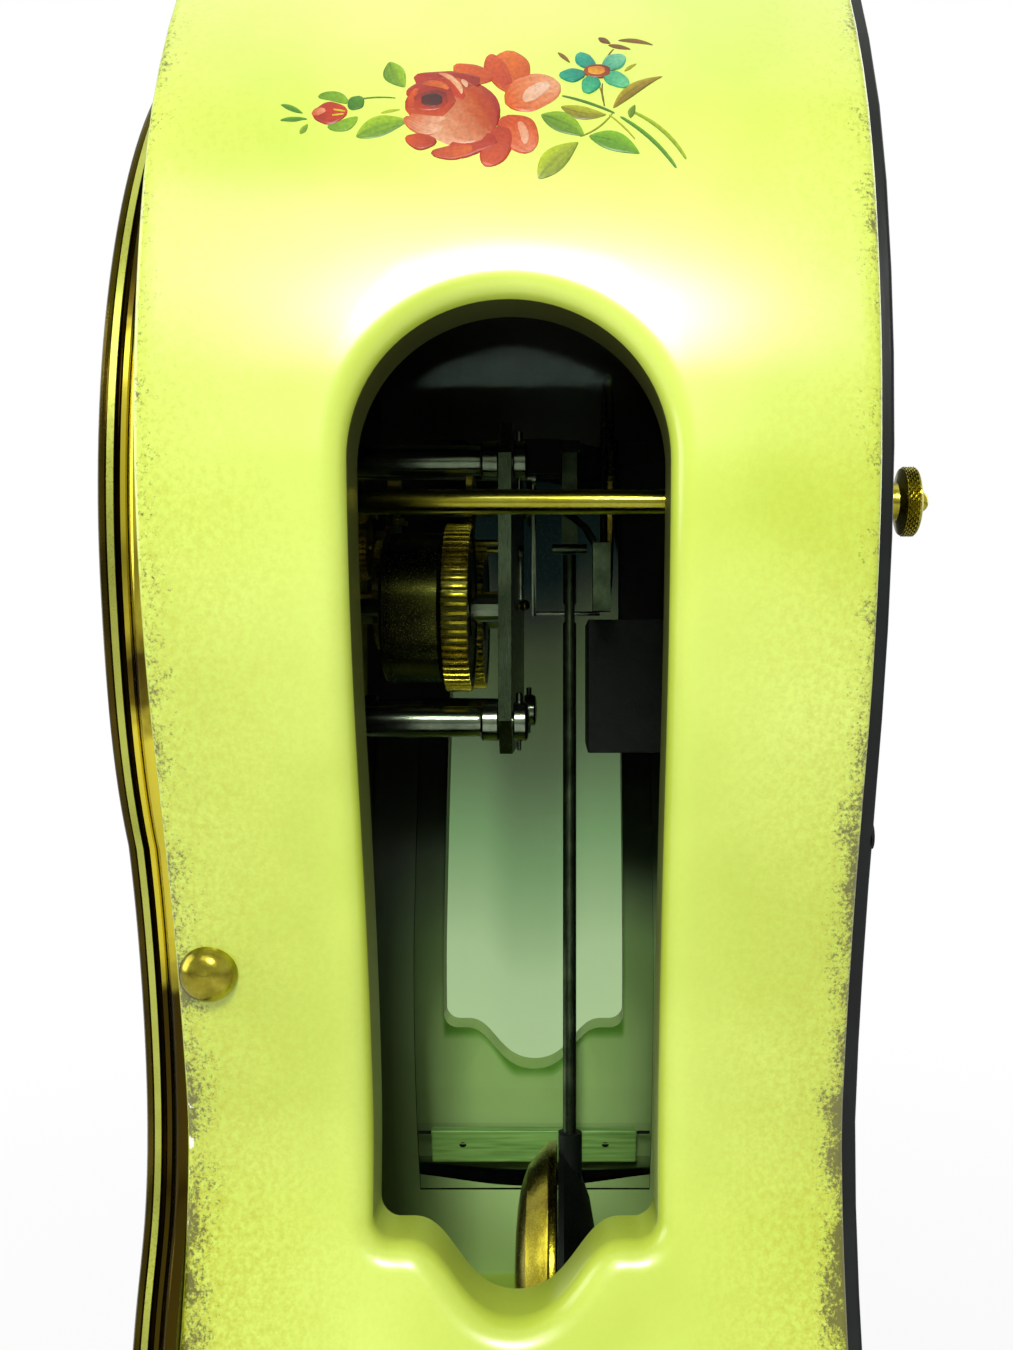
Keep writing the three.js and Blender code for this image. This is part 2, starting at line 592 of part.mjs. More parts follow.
const leafPitch = (module) => pitch(leaf.teeth, module);
const escapeAt = palletAt.clone().add(
  new THREE.Vector2(1, -1).setLength(escape.radius * Math.SQRT2));
const thirdAt = meeting(centreAt, pitch(centre.wheelTeeth, centre.wheelModule) + leafPitch(centre.wheelModule),
  escapeAt, pitch(third.teeth, third.module) + leafPitch(third.module), -1);
const intermediateAt = meeting(centreAt,
  pitch(centre.pinionTeeth, centre.pinionModule) + pitch(intermediate.teeth, centre.pinionModule),
  barrelAt(1), pitch(great.teeth, great.module) + leafPitch(great.module), -1);
const strikeAt = meeting(centreAt, strike.reach,
  barrelAt(-1), pitch(great.teeth, great.module) + leafPitch(great.module), -1);
const flyAt = strikeAt.clone().add(new THREE.Vector2(Math.cos(fly.turn), Math.sin(fly.turn))
  .multiplyScalar(pitch(strike.teeth, strike.module) + leafPitch(strike.module)));
const motionDistance = pitch(motion.cannonTeeth + motion.minuteTeeth, motion.module);
const hourModule = 2 * motionDistance / (motion.pinionTeeth + motion.hourTeeth);
const minuteWheelAt = at(0, -motionDistance);
const hammerAt = at(hammer.x, hammer.rise);

// The turn that puts a gap of the second wheel over the tooth of the first on their line of centres
function meshTurn(firstAt, firstTeeth, firstTurn, secondAt, secondTeeth) {
  const line = Math.atan2(secondAt.y - firstAt.y, secondAt.x - firstAt.x);
  const share = (line - firstTurn) * firstTeeth / (2 * Math.PI);
  return line + Math.PI - (0.5 - share) * 2 * Math.PI / secondTeeth;
}

// A toothed wheel as a front-view shape about its own axis, its teeth flat-topped or pointed
function toothedShape(teeth, module, turn, flatTop) {
  const radius = pitch(teeth, module);
  const tip = radius + module * tooth.addendumShare;
  const root = radius - module * tooth.dedendumShare;
  const step = 2 * Math.PI / teeth;
  const points = [];
  for (let i = 0; i < teeth; i += 1) {
    const middle = turn + i * step;
    const tips = flatTop ? [[tip, -tooth.tipShare], [tip, tooth.tipShare]] : [[tip, 0]];
    [[root, -tooth.rootShare], ...tips, [root, tooth.rootShare]]
      .forEach(([r, share]) => {
        const angle = middle + share * step / 2;
        points.push(new THREE.Vector2(r * Math.cos(angle), r * Math.sin(angle)));
      });
  }
  return new THREE.Shape(points);
}

const toothed = (teeth, module, turn, from, to, flatTop = false) =>
  pulledBack(toothedShape(teeth, module, turn, flatTop), from, to);
const depth = (from) => frontPlateBack + from;
const pivots = () => shaft(arbor.thin, frontPlateFront, backPlateBack, 8);

// Turns of the wheels at rest, each in mesh with the one before
const minuteTurn = 0;
const thirdTurn = meshTurn(centreAt, centre.wheelTeeth, minuteTurn, thirdAt, leaf.teeth);
const escapeTurn = meshTurn(thirdAt, third.teeth, thirdTurn, escapeAt, leaf.teeth);
const intermediateTurn = meshTurn(centreAt, centre.pinionTeeth, minuteTurn, intermediateAt, intermediate.teeth);
const goingTurn = meshTurn(intermediateAt, leaf.teeth, intermediateTurn, barrelAt(1), great.teeth);
const strikeTurn = meshTurn(barrelAt(-1), great.teeth, 0, strikeAt, leaf.teeth);
const flyTurn = meshTurn(strikeAt, strike.teeth, strikeTurn, flyAt, leaf.teeth);
const minuteWheelTurn = meshTurn(centreAt, motion.cannonTeeth, minuteTurn, minuteWheelAt, motion.minuteTeeth);
const hourTurn = meshTurn(minuteWheelAt, motion.pinionTeeth, minuteWheelTurn, centreAt, motion.hourTeeth);

// Plates with clipped corners and a hole for each pivot
const pillarPlaces = [[-1, 1], [1, 1], [-1, -1], [1, -1]].map(([side, up]) =>
  ({ side, up, place: at(side * pillar.spread, up > 0 ? pillar.high : -pillar.low) }));
const thinAxes = [centreAt, thirdAt, escapeAt, intermediateAt, strikeAt, flyAt, palletAt, hammerAt];

function plateSolid(from, extra) {
  const [w, c] = [plate.halfWidth, plate.chamfer];
  const [low, high] = [dialHeight - plate.below, dialHeight + plate.above];
  const sheet = pulledBack(corners([
    [-w + c, low], [w - c, low], [w, low + c], [w, high - c], [w - c, high],
    [-w + c, high], [-w, high - c], [-w, low + c],
  ]), from, from + plate.thick);
  const hole = (place, radius) =>
    shaft(radius, from - fit.overrun, from + plate.thick + fit.overrun, 8, place.x, place.y);
  return cut(
    sheet,
    ...thinAxes.map((place) => hole(place, arbor.thin + arbor.pivotGap)),
    ...[-1, 1].map((side) => hole(barrelAt(side), arbor.winding + arbor.pivotGap)),
    ...extra.map(({ place, radius }) => hole(place, radius)),
  );
}

function pillarSolid() {
  const behind = backPlateBack + fit.seat;
  const end = behind + pillar.nutThick;
  const rod = turned([
    [0, frontPlateBack], [pillar.radius, frontPlateBack],
    [pillar.radius, backPlateFront], [pillar.neck, backPlateFront],
    [pillar.neck, behind], [pillar.nutRadius, behind], [pillar.nutRadius, end], [0, end],
  ], 10);
  const pin = new THREE.CylinderGeometry(taperPin.thick, taperPin.thin, taperPin.length, 6)
    .rotateX(Math.PI / 2).translate(0, behind + taperPin.from, 0);
  return join(rod, pin);
}

// A barrel: drum with a toothed great wheel at its back, on a bore for the winding arbor
function barrelSolid(turn, face) {
  const [drumFront, wheelFront] = [depth(barrel.drumFrom), depth(barrel.wheelFrom)];
  const drum = turned([
    [0, drumFront + 0.6 * wheelThick], [barrel.drumRadius * 0.86, drumFront + 0.6 * wheelThick],
    [barrel.drumRadius * 0.9, drumFront], [barrel.drumRadius, drumFront],
    [barrel.drumRadius, wheelFront + wheelThick / 2],
    [0, wheelFront + wheelThick / 2],
  ], 20);
  const wheelBack = wheelFront + barrel.faceWidth;
  const flat = face === barrel.faceWidth;
  const wheel = toothed(great.teeth, great.module, turn, wheelBack - face, wheelBack, flat);
  const neck = shaft(barrel.drumRadius * 0.9, wheelFront, wheelFront + barrel.faceWidth, 20);
  const bore = shaft(arbor.winding + fit.running, drumFront - fit.overrun, backPlateFront, 14);
  return cut(join(drum, neck, wheel), bore);
}

// A winding arbor with its square in front of the dial and a ratchet drum behind the great wheel
function windingArbor() {
  const squareFront = caseFront + dial.recess - dial.thick - fit.seat * 2;
  const half = arbor.winding * 0.7;
  const hub = depth(barrel.wheelFrom + barrel.faceWidth) + fit.running;
  return join(
    shaft(arbor.winding, frontPlateFront - arbor.winding, backPlateBack, 14),
    block(-half, half, squareFront, frontPlateFront, -half, half),
    shaft(arbor.winding * 1.5, hub, backPlateFront - fit.running, 14),
  );
}

function centreSolid() {
  const from = depth(centre.wheelFrom);
  const wheel = toothed(centre.wheelTeeth, centre.wheelModule, minuteTurn, from, from + wheelThick);
  const pinion = toothed(centre.pinionTeeth, centre.pinionModule, minuteTurn,
    depth(intermediate.from) - wheelThick, depth(intermediate.from) + 2 * wheelThick);
  const cannonBack = frontPlateFront - fit.running;
  const cannonFrom = cannonBack - 2 * wheelThick;
  const cannon = toothed(motion.cannonTeeth, motion.module, minuteTurn, cannonFrom, cannonBack);
  const front = minuteHandFront() + fit.seat;
  const neck = shaft(arbor.thin, cannonBack - wheelThick, frontPlateBack, 12);
  const post = shaft(arbor.thin * 1.3, front, cannonBack - wheelThick, 12);
  return join(wheel, pinion, cannon, post, neck, pivots());
}

// Depths of the hands, counted forwards from the dial's face
const dialFace = caseFront + dial.recess - dial.thick;
const hourHandBack = dialFace - hands.gap * 1.6;
const minuteHandBack = hourHandBack - hands.thick - hands.gap;
const minuteHandFront = () => minuteHandBack - hands.thick;

function handShape(length, width, tail) {
  const s = new THREE.Shape();
  s.moveTo(-width * 0.35, -tail);
  s.lineTo(width * 0.35, -tail);
  s.lineTo(width * 0.5, length * 0.35);
  s.bezierCurveTo(width * 1.6, length * 0.45, width * 2.2, length * 0.6, width * 0.35, length * 0.74);
  s.lineTo(width * 0.1, length);
  s.lineTo(-width * 0.1, length);
  s.lineTo(-width * 0.35, length * 0.74);
  s.bezierCurveTo(-width * 2.2, length * 0.6, -width * 1.6, length * 0.45, -width * 0.5, length * 0.35);
  return s;
}

function minuteHandSolid() {
  const shape = handShape(dialRadius - hands.minuteShort, hands.width, hands.boss * 1.5);
  const blade = pulledBack(shape, minuteHandFront(), minuteHandBack, 6);
  const boss = shaft(hands.boss, minuteHandFront(), minuteHandBack, 20);
  const nut = shaft(hands.boss * 0.5, minuteHandFront() - hands.nut, minuteHandBack, 12);
  const seat = arbor.thin * 1.3 + fit.seat;
  const bore = shaft(seat, minuteHandBack - hands.thick, minuteHandBack + fit.overrun, 12);
  return cut(join(blade, boss, nut), bore);
}

function hourHandSolid() {
  const shape = handShape(dialRadius - hands.hourShort, hands.width * 1.3, hands.boss);
  const blade = pulledBack(shape, hourHandBack - hands.thick, hourHandBack, 6);
  const boss = shaft(hands.boss, hourHandBack - hands.thick, hourHandBack, 20);
  const bore = shaft(pipe.bore + fit.seat * 1.5, hourHandBack - fit.overrun, hourHandBack + fit.overrun, 14);
  return cut(join(blade, boss), bore);
}

function hourWheelSolid() {
  const back = caseFront + dial.recess + fit.seat + wheelThick;
  const wheel = toothed(motion.hourTeeth, hourModule, hourTurn, back - wheelThick, back);
  const sleeve = shaft(pipe.radius, hourHandBack + fit.seat, back, 16);
  return cut(join(wheel, sleeve), shaft(pipe.bore, hourHandBack - fit.overrun, back + fit.overrun, 14));
}

function minuteWheelSolid() {
  const hourBack = caseFront + dial.recess + fit.seat + wheelThick;
  const back = frontPlateFront - fit.running;
  const from = back - wheelThick * 1.4;
  const wheel = toothed(motion.minuteTeeth, motion.module, minuteWheelTurn, from, from + wheelThick);
  const front = hourBack - wheelThick;
  const pinion = toothed(motion.pinionTeeth, hourModule, minuteWheelTurn, front, back - wheelThick);
  return join(wheel, pinion, shaft(motion.stud, hourBack - wheelThick, frontPlateFront, 10));
}

// The third wheel runs on a stud in the front plate
function thirdSolid() {
  const back = depth(third.from) + wheelThick;
  return join(
    toothed(third.teeth, third.module, thirdTurn, depth(third.from), back),
    toothed(leaf.teeth, centre.wheelModule, thirdTurn, depth(centre.wheelFrom) - wheelThick / 2, back),
    shaft(arbor.thin, frontPlateFront, back + wheelThick / 3, 12),
  );
}

function intermediateSolid() {
  const from = depth(intermediate.from);
  const pinionFrom = depth(barrel.wheelFrom) - wheelThick / 2;
  const pinionTo = pinionFrom + barrel.faceWidth + wheelThick;
  return join(
    toothed(intermediate.teeth, centre.pinionModule, intermediateTurn, from, from + wheelThick),
    toothed(leaf.teeth, great.module, intermediateTurn, pinionFrom, pinionTo),
    pivots(),
  );
}

function strikeSolid() {
  const wheelBack = depth(strike.from) + wheelThick;
  const pinionFrom = depth(barrel.wheelFrom);
  const circle = pitch(strike.teeth, strike.module) * strike.pinShare;
  const pin = shaft(strike.pinRadius, wheelBack - wheelThick / 2, wheelBack + strike.pinLength, 6, circle);
  const pins = levels(0, 2 * Math.PI, strike.pins).slice(1).map((angle) => pin.clone().rotateY(angle));
  return join(
    toothed(strike.teeth, strike.module, strikeTurn, depth(strike.from), wheelBack),
    toothed(leaf.teeth, great.module, strikeTurn, pinionFrom, pinionFrom + barrel.faceWidth + wheelThick / 2),
    ...pins,
    pivots(),
  );
}

function flySolid() {
  const from = depth(fly.from);
  const middle = depth(strike.from) + wheelThick / 2;
  return join(
    toothed(leaf.teeth, strike.module, flyTurn, middle - wheelThick, middle + wheelThick),
    block(-fly.radius, fly.radius, from, from + fly.length, -fly.thick / 2, fly.thick / 2),
    pivots(),
  );
}

function escapeSolid() {
  const points = [];
  const step = 2 * Math.PI / escape.teeth;
  const root = escape.radius * escape.rootShare;
  for (let i = 0; i < escape.teeth; i += 1) {
    [[root, 0], [escape.radius, escape.lean], [root, 0.45]].forEach(([r, share]) => {
      const angle = escapeTurn + (i + share) * step;
      points.push(new THREE.Vector2(r * Math.cos(angle), r * Math.sin(angle)));
    });
  }
  const from = depth(escape.from);
  const middle = depth(third.from) + wheelThick / 2;
  return join(
    pulledBack(new THREE.Shape(points), from, from + escape.thick),
    toothed(leaf.teeth, third.module, escapeTurn, middle - wheelThick, middle + wheelThick),
    pivots(),
  );
}

// The anchor straddles the escape wheel; its nibs stand clear of the tooth circle at rest
function palletSolid() {
  const from = depth(escape.from) - (pallet.thick - escape.thick) / 2;
  const toWheel = escapeAt.clone().sub(palletAt);
  const line = Math.atan2(toWheel.y, toWheel.x);
  const reach = escape.radius + pallet.clear;
  const arm = (side) => {
    const nibAngle = line + side * Math.PI / 4;
    const end = new THREE.Vector2(Math.cos(nibAngle), Math.sin(nibAngle)).multiplyScalar(pallet.arm);
    const out = end.clone().sub(toWheel).setLength(reach).add(toWheel);
    const tip = out.clone().sub(toWheel).setLength(reach + pallet.nib * 2).add(toWheel);
    const across = new THREE.Vector2(-out.y, out.x).normalize().multiplyScalar(pallet.web / 2);
    const along = new THREE.Vector2(toWheel.y - out.y, out.x - toWheel.x).setLength(pallet.nib / 2);
    const bar = new THREE.Shape([
      across.clone().negate(), tip.clone().sub(across), tip.clone().add(across), across,
    ]);
    const nib = new THREE.Shape([
      out.clone().sub(along), out.clone().add(along), tip.clone().add(along), tip.clone().sub(along),
    ]);
    return [pulledBack(bar, from, from + pallet.thick), pulledBack(nib, from, from + pallet.thick)];
  };
  const hub = shaft(pallet.web * 1.3, from, from + pallet.thick, 14);
  const axle = shaft(arbor.thin, frontPlateFront, backPlateBack + crutch.from + crutch.wire, 12);
  return join(hub, axle, ...arm(1), ...arm(-1));
}

// The crutch hangs from the pallet arbor and carries a pin through the pendulum rod
function crutchSolid() {
  const y = backPlateBack + crutch.from;
  const low = -crutch.length;
  const collar = cut(
    shaft(arbor.thin * 2.4, y - crutch.wire, y + crutch.wire, 14),
    shaft(arbor.thin + fit.seat, y - fit.overrun, y + fit.overrun, 12),
  );
  const wire = block(-crutch.wire, crutch.wire, y - crutch.wire, y + crutch.wire, low, -arbor.thin * 2);
  const pin = shaft(crutch.wire, y, backPlateBack + crutch.pinTo, 8, 0, low + crutch.wire);
  return join(collar, wire, pin);
}

const pendulumY = backPlateBack + pendulum.fromPlate;
const springTop = cock.lift + cock.height - cock.tongue - fit.running;
const bobPlane = pendulumY - bob.socketRadius;

function springSolid() {
  const low = -pendulum.rodTop;
  const half = spring.width / 2;
  return join(
    block(-spring.thick / 2, spring.thick / 2, pendulumY - half, pendulumY + half, low, springTop),
    shaft(spring.cross, pendulumY - spring.crossLength / 2, pendulumY + spring.crossLength / 2, 12, 0, low),
  );
}

function rodSolid() {
  const top = -pendulum.rodTop - spring.cross - fit.seat;
  const slot = block(-crutch.wire * 1.6, crutch.wire * 1.6, pendulumY - fit.overrun, pendulumY + fit.overrun,
    -crutch.length - crutch.wire * 3, -crutch.length + crutch.wire * 5);
  return cut(postUp(pendulum.rodRadius, -rodDrop, top, 14, 0, pendulumY), slot);
}

function bobFrontSolid() {
  const edge = bob.radius;
  const face = bobPlane - bob.rim;
  return turned([
    [0, bobPlane], [edge, bobPlane], [edge, face], [edge * 0.97, face - bob.rim * 0.3],
    [edge * 0.88, face - bob.frontDome * 0.28], [edge * 0.7, face - bob.frontDome * 0.6],
    [edge * 0.45, face - bob.frontDome * 0.86], [edge * 0.2, face - bob.frontDome * 0.98],
    [0, face - bob.frontDome],
  ], 28).translate(0, 0, -bobDrop);
}

// The dark back of the bob, with the socket for the rod above and the stub for the rating nut below
function bobBackSolid() {
  const edge = bob.radius * 0.97;
  const start = bobPlane + fit.seat;
  const dome = turned([
    [0, start], [edge, start], [edge, start + bob.rim], [edge * 0.85, start + bob.backDome * 0.5],
    [edge * 0.6, start + bob.backDome * 0.8], [edge * 0.3, start + bob.backDome * 0.97],
    [0, start + bob.backDome],
  ], 20).translate(0, 0, -bobDrop);
  const foot = -bobDrop - bob.radius;
  const socket = cut(
    postUp(bob.socketRadius, -bobDrop + bob.radius / 3, -rodDrop, 14, 0, pendulumY),
    block(-bob.radius, bob.radius, bobPlane - fit.overrun, start, -bobDrop, 0),
  );
  const stub = postUp(rating.stub, foot - rating.stubBelow, foot + bob.rim * 4, 10, 0, pendulumY);
  return join(dome, socket, stub);
}

// A knurled edge: a toothed outline between two radii
function knurledShape(radius, count, knurlDepth) {
  const points = [];
  for (let i = 0; i < count; i += 1) {
    const angle = 2 * Math.PI * i / count;
    const half = Math.PI / count;
    points.push(new THREE.Vector2(radius * Math.cos(angle), radius * Math.sin(angle)));
    const low = radius - knurlDepth;
    points.push(new THREE.Vector2(low * Math.cos(angle + half), low * Math.sin(angle + half)));
  }
  return new THREE.Shape(points);
}

function ratingNutSolid() {
  const high = -bobDrop - bob.radius - rating.gap;
  const disc = new THREE.ExtrudeGeometry(knurledShape(rating.radius, rating.knurls, rating.knurlDepth),
    { depth: rating.thick, bevelEnabled: false }).translate(0, pendulumY, high - rating.thick);
  const bore = rating.stub + fit.running;
  const low = high - rating.thick;
  return cut(disc, postUp(bore, low - fit.overrun, high + fit.overrun, 12, 0, pendulumY));
}

function thumbNutSolid() {
  const face = caseBack + backBoard.thick + fit.seat;
  const discFront = face + thumbNut.collarLength;
  const collar = shaft(thumbNut.collar, face, discFront + thumbNut.discThick / 2, 20);
  const disc = pulledBack(knurledShape(thumbNut.radius, thumbNut.knurls, thumbNut.knurlDepth),
    discFront, discFront + thumbNut.discThick);
  const bore = shaft(tieRod.radius + fit.running, face - fit.overrun, discFront + 2 * fit.overrun, 16);
  return cut(join(collar, disc), bore);
}

function tieRodSolid() {
  const end = caseBack + tieRod.reach;
  const r = tieRod.radius;
  return turned([[0, frontPlateFront], [r, frontPlateFront], [r, end - r * 0.7], [r * 0.8, end - r * 0.25],
    [r * 0.4, end], [0, end]], 16);
}

// The cock bridges the pallet arbor and the crutch's collar; its tongue reaches over the spring
function cockSolid() {
  const half = cock.width / 2;
  const high = cock.lift + cock.height;
  const front = pendulumY - spring.width / 2 - fit.seat;
  const rear = pendulumY + spring.width / 2 + cock.reach;
  const bridge = shaft(arbor.thin * 2.4 + fit.running, backPlateBack - fit.overrun, front + fit.overrun, 14);
  return cut(join(
    block(-half, half, backPlateBack, front, cock.lift, high),
    block(-half / 2, half / 2, backPlateBack, rear, high - cock.tongue, high),
  ), bridge);
}

// Gong: a flat spiral of wire from its outer end in to the boss of the stand
class Spiral extends THREE.Curve {
  getPoint(t, target = new THREE.Vector3()) {
    const radius = gong.radius - t * gong.turns * gong.pitch;
    const angle = t * gong.turns * 2 * Math.PI;
    return target.set(radius * Math.cos(angle), 0, radius * Math.sin(angle));
  }
}

function gongSolid() {
  const sides = 6;
  const section = new THREE.Shape(levels(0, 2 * Math.PI, sides).slice(1).map((angle) =>
    new THREE.Vector2(gong.wire * Math.cos(angle), gong.wire * Math.sin(angle))));
  const how = { steps: Math.round(gong.turns * 18), extrudePath: new Spiral() };
  return new THREE.ExtrudeGeometry(section, how)
    .translate(0, backPlateBack + gong.fromPlate, 0);
}

function standSolid() {
  const front = backPlateBack + stand.front;
  const postFront = backPlateBack + stand.postFront;
  const wireFront = backPlateBack + gong.fromPlate - gong.wire;
  const boss = gong.radius - gong.turns * gong.pitch - gong.wire - fit.seat;
  return join(
    block(-stand.halfWidth, stand.halfWidth, front, caseBack, -stand.lower, -stand.step),
    block(-stand.postHalf, stand.postHalf, postFront, caseBack, -stand.lower, gong.rise + stand.crown),
    shaft(boss, wireFront, postFront + fit.overrun, 16, 0, gong.rise),
  );
}

// Hammer: arbor between the plates, bent arm and brass head beside the gong
function hammerSolid() {
  const y = backPlateBack + stand.front + hammer.headDepth / 2 + hammer.wire;
  const head = [hammer.headX - hammer.x, -hammer.headDrop - hammer.rise];
  const bend = new THREE.CatmullRomCurve3([
    new THREE.Vector3(0, backPlateBack + crutch.from, 0),
    new THREE.Vector3(head[0] * 0.1, backPlateBack + 2 * crutch.from, head[1] * 0.05),
    new THREE.Vector3(head[0] * 0.7, y - hammer.headDepth, head[1] * 0.35),
    new THREE.Vector3(head[0], y, head[1] + hammer.headHeight * 0.3),
  ], false, 'centripetal');
  const section = new THREE.Shape().absarc(0, 0, hammer.wire, 0, 2 * Math.PI);
  const arm = new THREE.ExtrudeGeometry(section, { steps: 6, curveSegments: 3, extrudePath: bend });
  const behind = backPlateBack + crutch.from;
  const collar = shaft(hammer.wire * 1.8, backPlateBack + fit.seat, behind + hammer.wire, 14);
  const brassHead = block(head[0] - hammer.headWidth / 2, head[0] + hammer.headWidth / 2,
    y - hammer.headDepth / 2, y + hammer.headDepth / 2,
    head[1] - hammer.headHeight / 2, head[1] + hammer.headHeight / 2);
  const axle = shaft(arbor.thin, frontPlateFront, backPlateBack + crutch.from, 12);
  return join(axle, collar, arm, brassHead);
}

// Case
add('right_side_panel', sideWall(1), lacquer());
add('left_side_panel', sideWall(-1), lacquer());
add('head_cap', capSolid(), lacquer());
add('base_board', baseSolid(), lacquer());
add('front_board', frontBoardSolid(), lacquer());
add('back_board', backBoardSolid(), blackLacquer());
add('finial', finialSolid(), brass(), 0, caseMiddle, bodyTop + cap.height);
[['right', 1], ['left', -1]].forEach(([name, side]) => {
  add(`${name}_window_glass`, sideGlass(side), glassLook());
  add(`${name}_glass_batten`, glassBatten(side), paint(0xa5c070, 0.6));
  const x = side * (baseHalf - ground.footInset);
  add(`${name}_front_foot`, footSolid(), brass(), x, caseFront + ground.footInset);
  add(`${name}_back_foot`, footSolid(), brass(), x, caseBack - ground.footInset);
});

add('tie_rod', tieRodSolid(), brass(), tieRodOut, 0, dialHeight);
add('thumb_nut', thumbNutSolid(), brass(), tieRodOut, 0, dialHeight);

// Brass front and dial
const doorParts = doorFrameSolid();
add('case_front_trim', trimSolid(), brass());
add('door_frame', doorParts.frame, brass());
add('door_catch', doorParts.tongue, steel());
add('door_glass', doorGlassSolid(), glassLook());
add('upper_hinge', caseHinge(hingeHeights[0]), brass());
add('lower_hinge', caseHinge(hingeHeights[1]), brass());
add('release_button', buttonSolid(), brass());
add('dial_plate', dialPlateSolid(), paint(0xf3efe0, 0.35));
add('dial_bezel', bezelSolid(), brass());

// Movement frame
add('front_plate', plateSolid(frontPlateFront, []), brass());
add('back_plate', plateSolid(backPlateFront, pillarPlaces.map(({ place }) =>
  ({ place, radius: pillar.neck + fit.seat }))), brass());
pillarPlaces.forEach(({ side, up, place }) => {
  const name = `${side > 0 ? 'right' : 'left'}_${up > 0 ? 'upper' : 'lower'}_pillar`;
  add(name, pillarSolid(), steel(), place.x, 0, place.y);
});

// Train, motion work and hands
const placed = (name, solid, material, place) => add(name, solid, material, place.x, 0, place.y);
placed('going_barrel', barrelSolid(goingTurn, barrel.faceWidth), brass(), barrelAt(1));
placed('strike_barrel', barrelSolid(0, barrel.faceWidth / 2), brass(), barrelAt(-1));
placed('going_winding_arbor', windingArbor(), darkSteel(), barrelAt(1));
placed('strike_winding_arbor', windingArbor(), darkSteel(), barrelAt(-1));
placed('centre_wheel', centreSolid(), brass(), centreAt);
placed('intermediate_wheel', intermediateSolid(), brass(), intermediateAt);
placed('third_wheel', thirdSolid(), brass(), thirdAt);
placed('escape_wheel', escapeSolid(), brass(), escapeAt);
placed('strike_wheel', strikeSolid(), brass(), strikeAt);
placed('fly', flySolid(), brass(), flyAt);
placed('minute_wheel', minuteWheelSolid(), brass(), minuteWheelAt);
placed('hour_wheel', hourWheelSolid(), brass(), centreAt);
placed('hour_hand', hourHandSolid(), darkSteel(), centreAt);
placed('minute_hand', minuteHandSolid(), darkSteel(), centreAt);

// Escapement, pendulum, hammer and gong
placed('anchor_pallets', palletSolid(), steel(), palletAt);
placed('crutch', crutchSolid(), steel(), palletAt);
placed('suspension_cock', cockSolid(), darkSteel(), palletAt);
placed('suspension_spring', springSolid(), darkSteel(), palletAt);
placed('pendulum_rod', rodSolid(), darkSteel(), palletAt);
placed('bob_front', bobFrontSolid(), brass(), palletAt);
placed('bob_back', bobBackSolid(), darkSteel(), palletAt);
placed('rating_nut', ratingNutSolid(), brass(), palletAt);
placed('hammer', hammerSolid(), brass(), hammerAt);
placed('gong', gongSolid(), brass(), at(0, gong.rise));
placed('gong_stand', standSolid(), darkSteel(), centreAt);

export default clock;
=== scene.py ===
import bisect
import json
import math
import random
from contextlib import contextmanager

import bmesh
import bpy
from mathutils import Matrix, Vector
from mathutils.bvhtree import BVHTree


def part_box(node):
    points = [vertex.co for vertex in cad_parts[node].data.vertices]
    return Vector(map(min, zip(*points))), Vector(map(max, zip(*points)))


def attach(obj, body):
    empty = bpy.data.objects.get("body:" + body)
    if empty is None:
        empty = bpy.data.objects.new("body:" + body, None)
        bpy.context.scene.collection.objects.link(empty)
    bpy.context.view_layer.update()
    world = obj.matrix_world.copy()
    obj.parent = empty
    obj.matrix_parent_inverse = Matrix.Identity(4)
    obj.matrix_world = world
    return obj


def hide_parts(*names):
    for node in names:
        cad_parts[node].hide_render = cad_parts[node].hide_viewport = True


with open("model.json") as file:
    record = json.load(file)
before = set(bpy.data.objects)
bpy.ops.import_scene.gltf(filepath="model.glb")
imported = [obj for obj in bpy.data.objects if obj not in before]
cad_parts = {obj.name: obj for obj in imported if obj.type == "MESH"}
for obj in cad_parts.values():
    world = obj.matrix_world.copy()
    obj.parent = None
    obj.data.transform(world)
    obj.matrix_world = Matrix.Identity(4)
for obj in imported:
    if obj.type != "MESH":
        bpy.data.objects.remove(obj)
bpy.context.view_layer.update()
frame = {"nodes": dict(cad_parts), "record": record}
mm = 0.001
bodyOf = {node: body for body, nodes in frame["record"]["behaviour"]["bodies"].items() for node in nodes}


def hexLinear(text):
    parts = [int(text[i:i + 2], 16) / 255 for i in (1, 3, 5)]
    return tuple(c / 12.92 if c <= 0.04045 else ((c + 0.055) / 1.055) ** 2.4 for c in parts) + (1,)


# A node given as a value stands for its first output, a text for the colour it spells
def addNode(tree, kind, inputs=None, **settings):
    node = tree.nodes.new(kind)
    for key, value in settings.items():
        setattr(node, key, value)
    for key, value in (inputs or {}).items():
        if isinstance(value, bpy.types.Node):
            value = value.outputs[0]
        if isinstance(value, bpy.types.NodeSocket):
            tree.links.new(value, node.inputs[key])
        else:
            node.inputs[key].default_value = hexLinear(value) if isinstance(value, str) else value
    return node


# The nodes that a tree needs again and again
class Graph:
    def __init__(self, tree):
        self.tree = tree
        tree.nodes.clear()

    def add(self, kind, inputs=None, **settings):
        return addNode(self.tree, "ShaderNode" + kind, inputs, **settings)

    def calc(self, work, *values, **settings):
        return self.add("Math", dict(enumerate(values)), operation=work, **settings)

    def span(self, value, low, high, toLow=0.0, toHigh=1.0, **settings):
        return self.add("MapRange", {
            "Value": value, "From Min": low, "From Max": high, "To Min": toLow, "To Max": toHigh}, **settings)

    def either(self, *kinds):
        rays = self.add("LightPath").outputs
        return self.calc("MAXIMUM", *(rays[f"Is {kind} Ray"] for kind in kinds))

    def mixed(self, share, first, second):
        return self.add("MixShader", {"Fac": share, 1: first, 2: second})


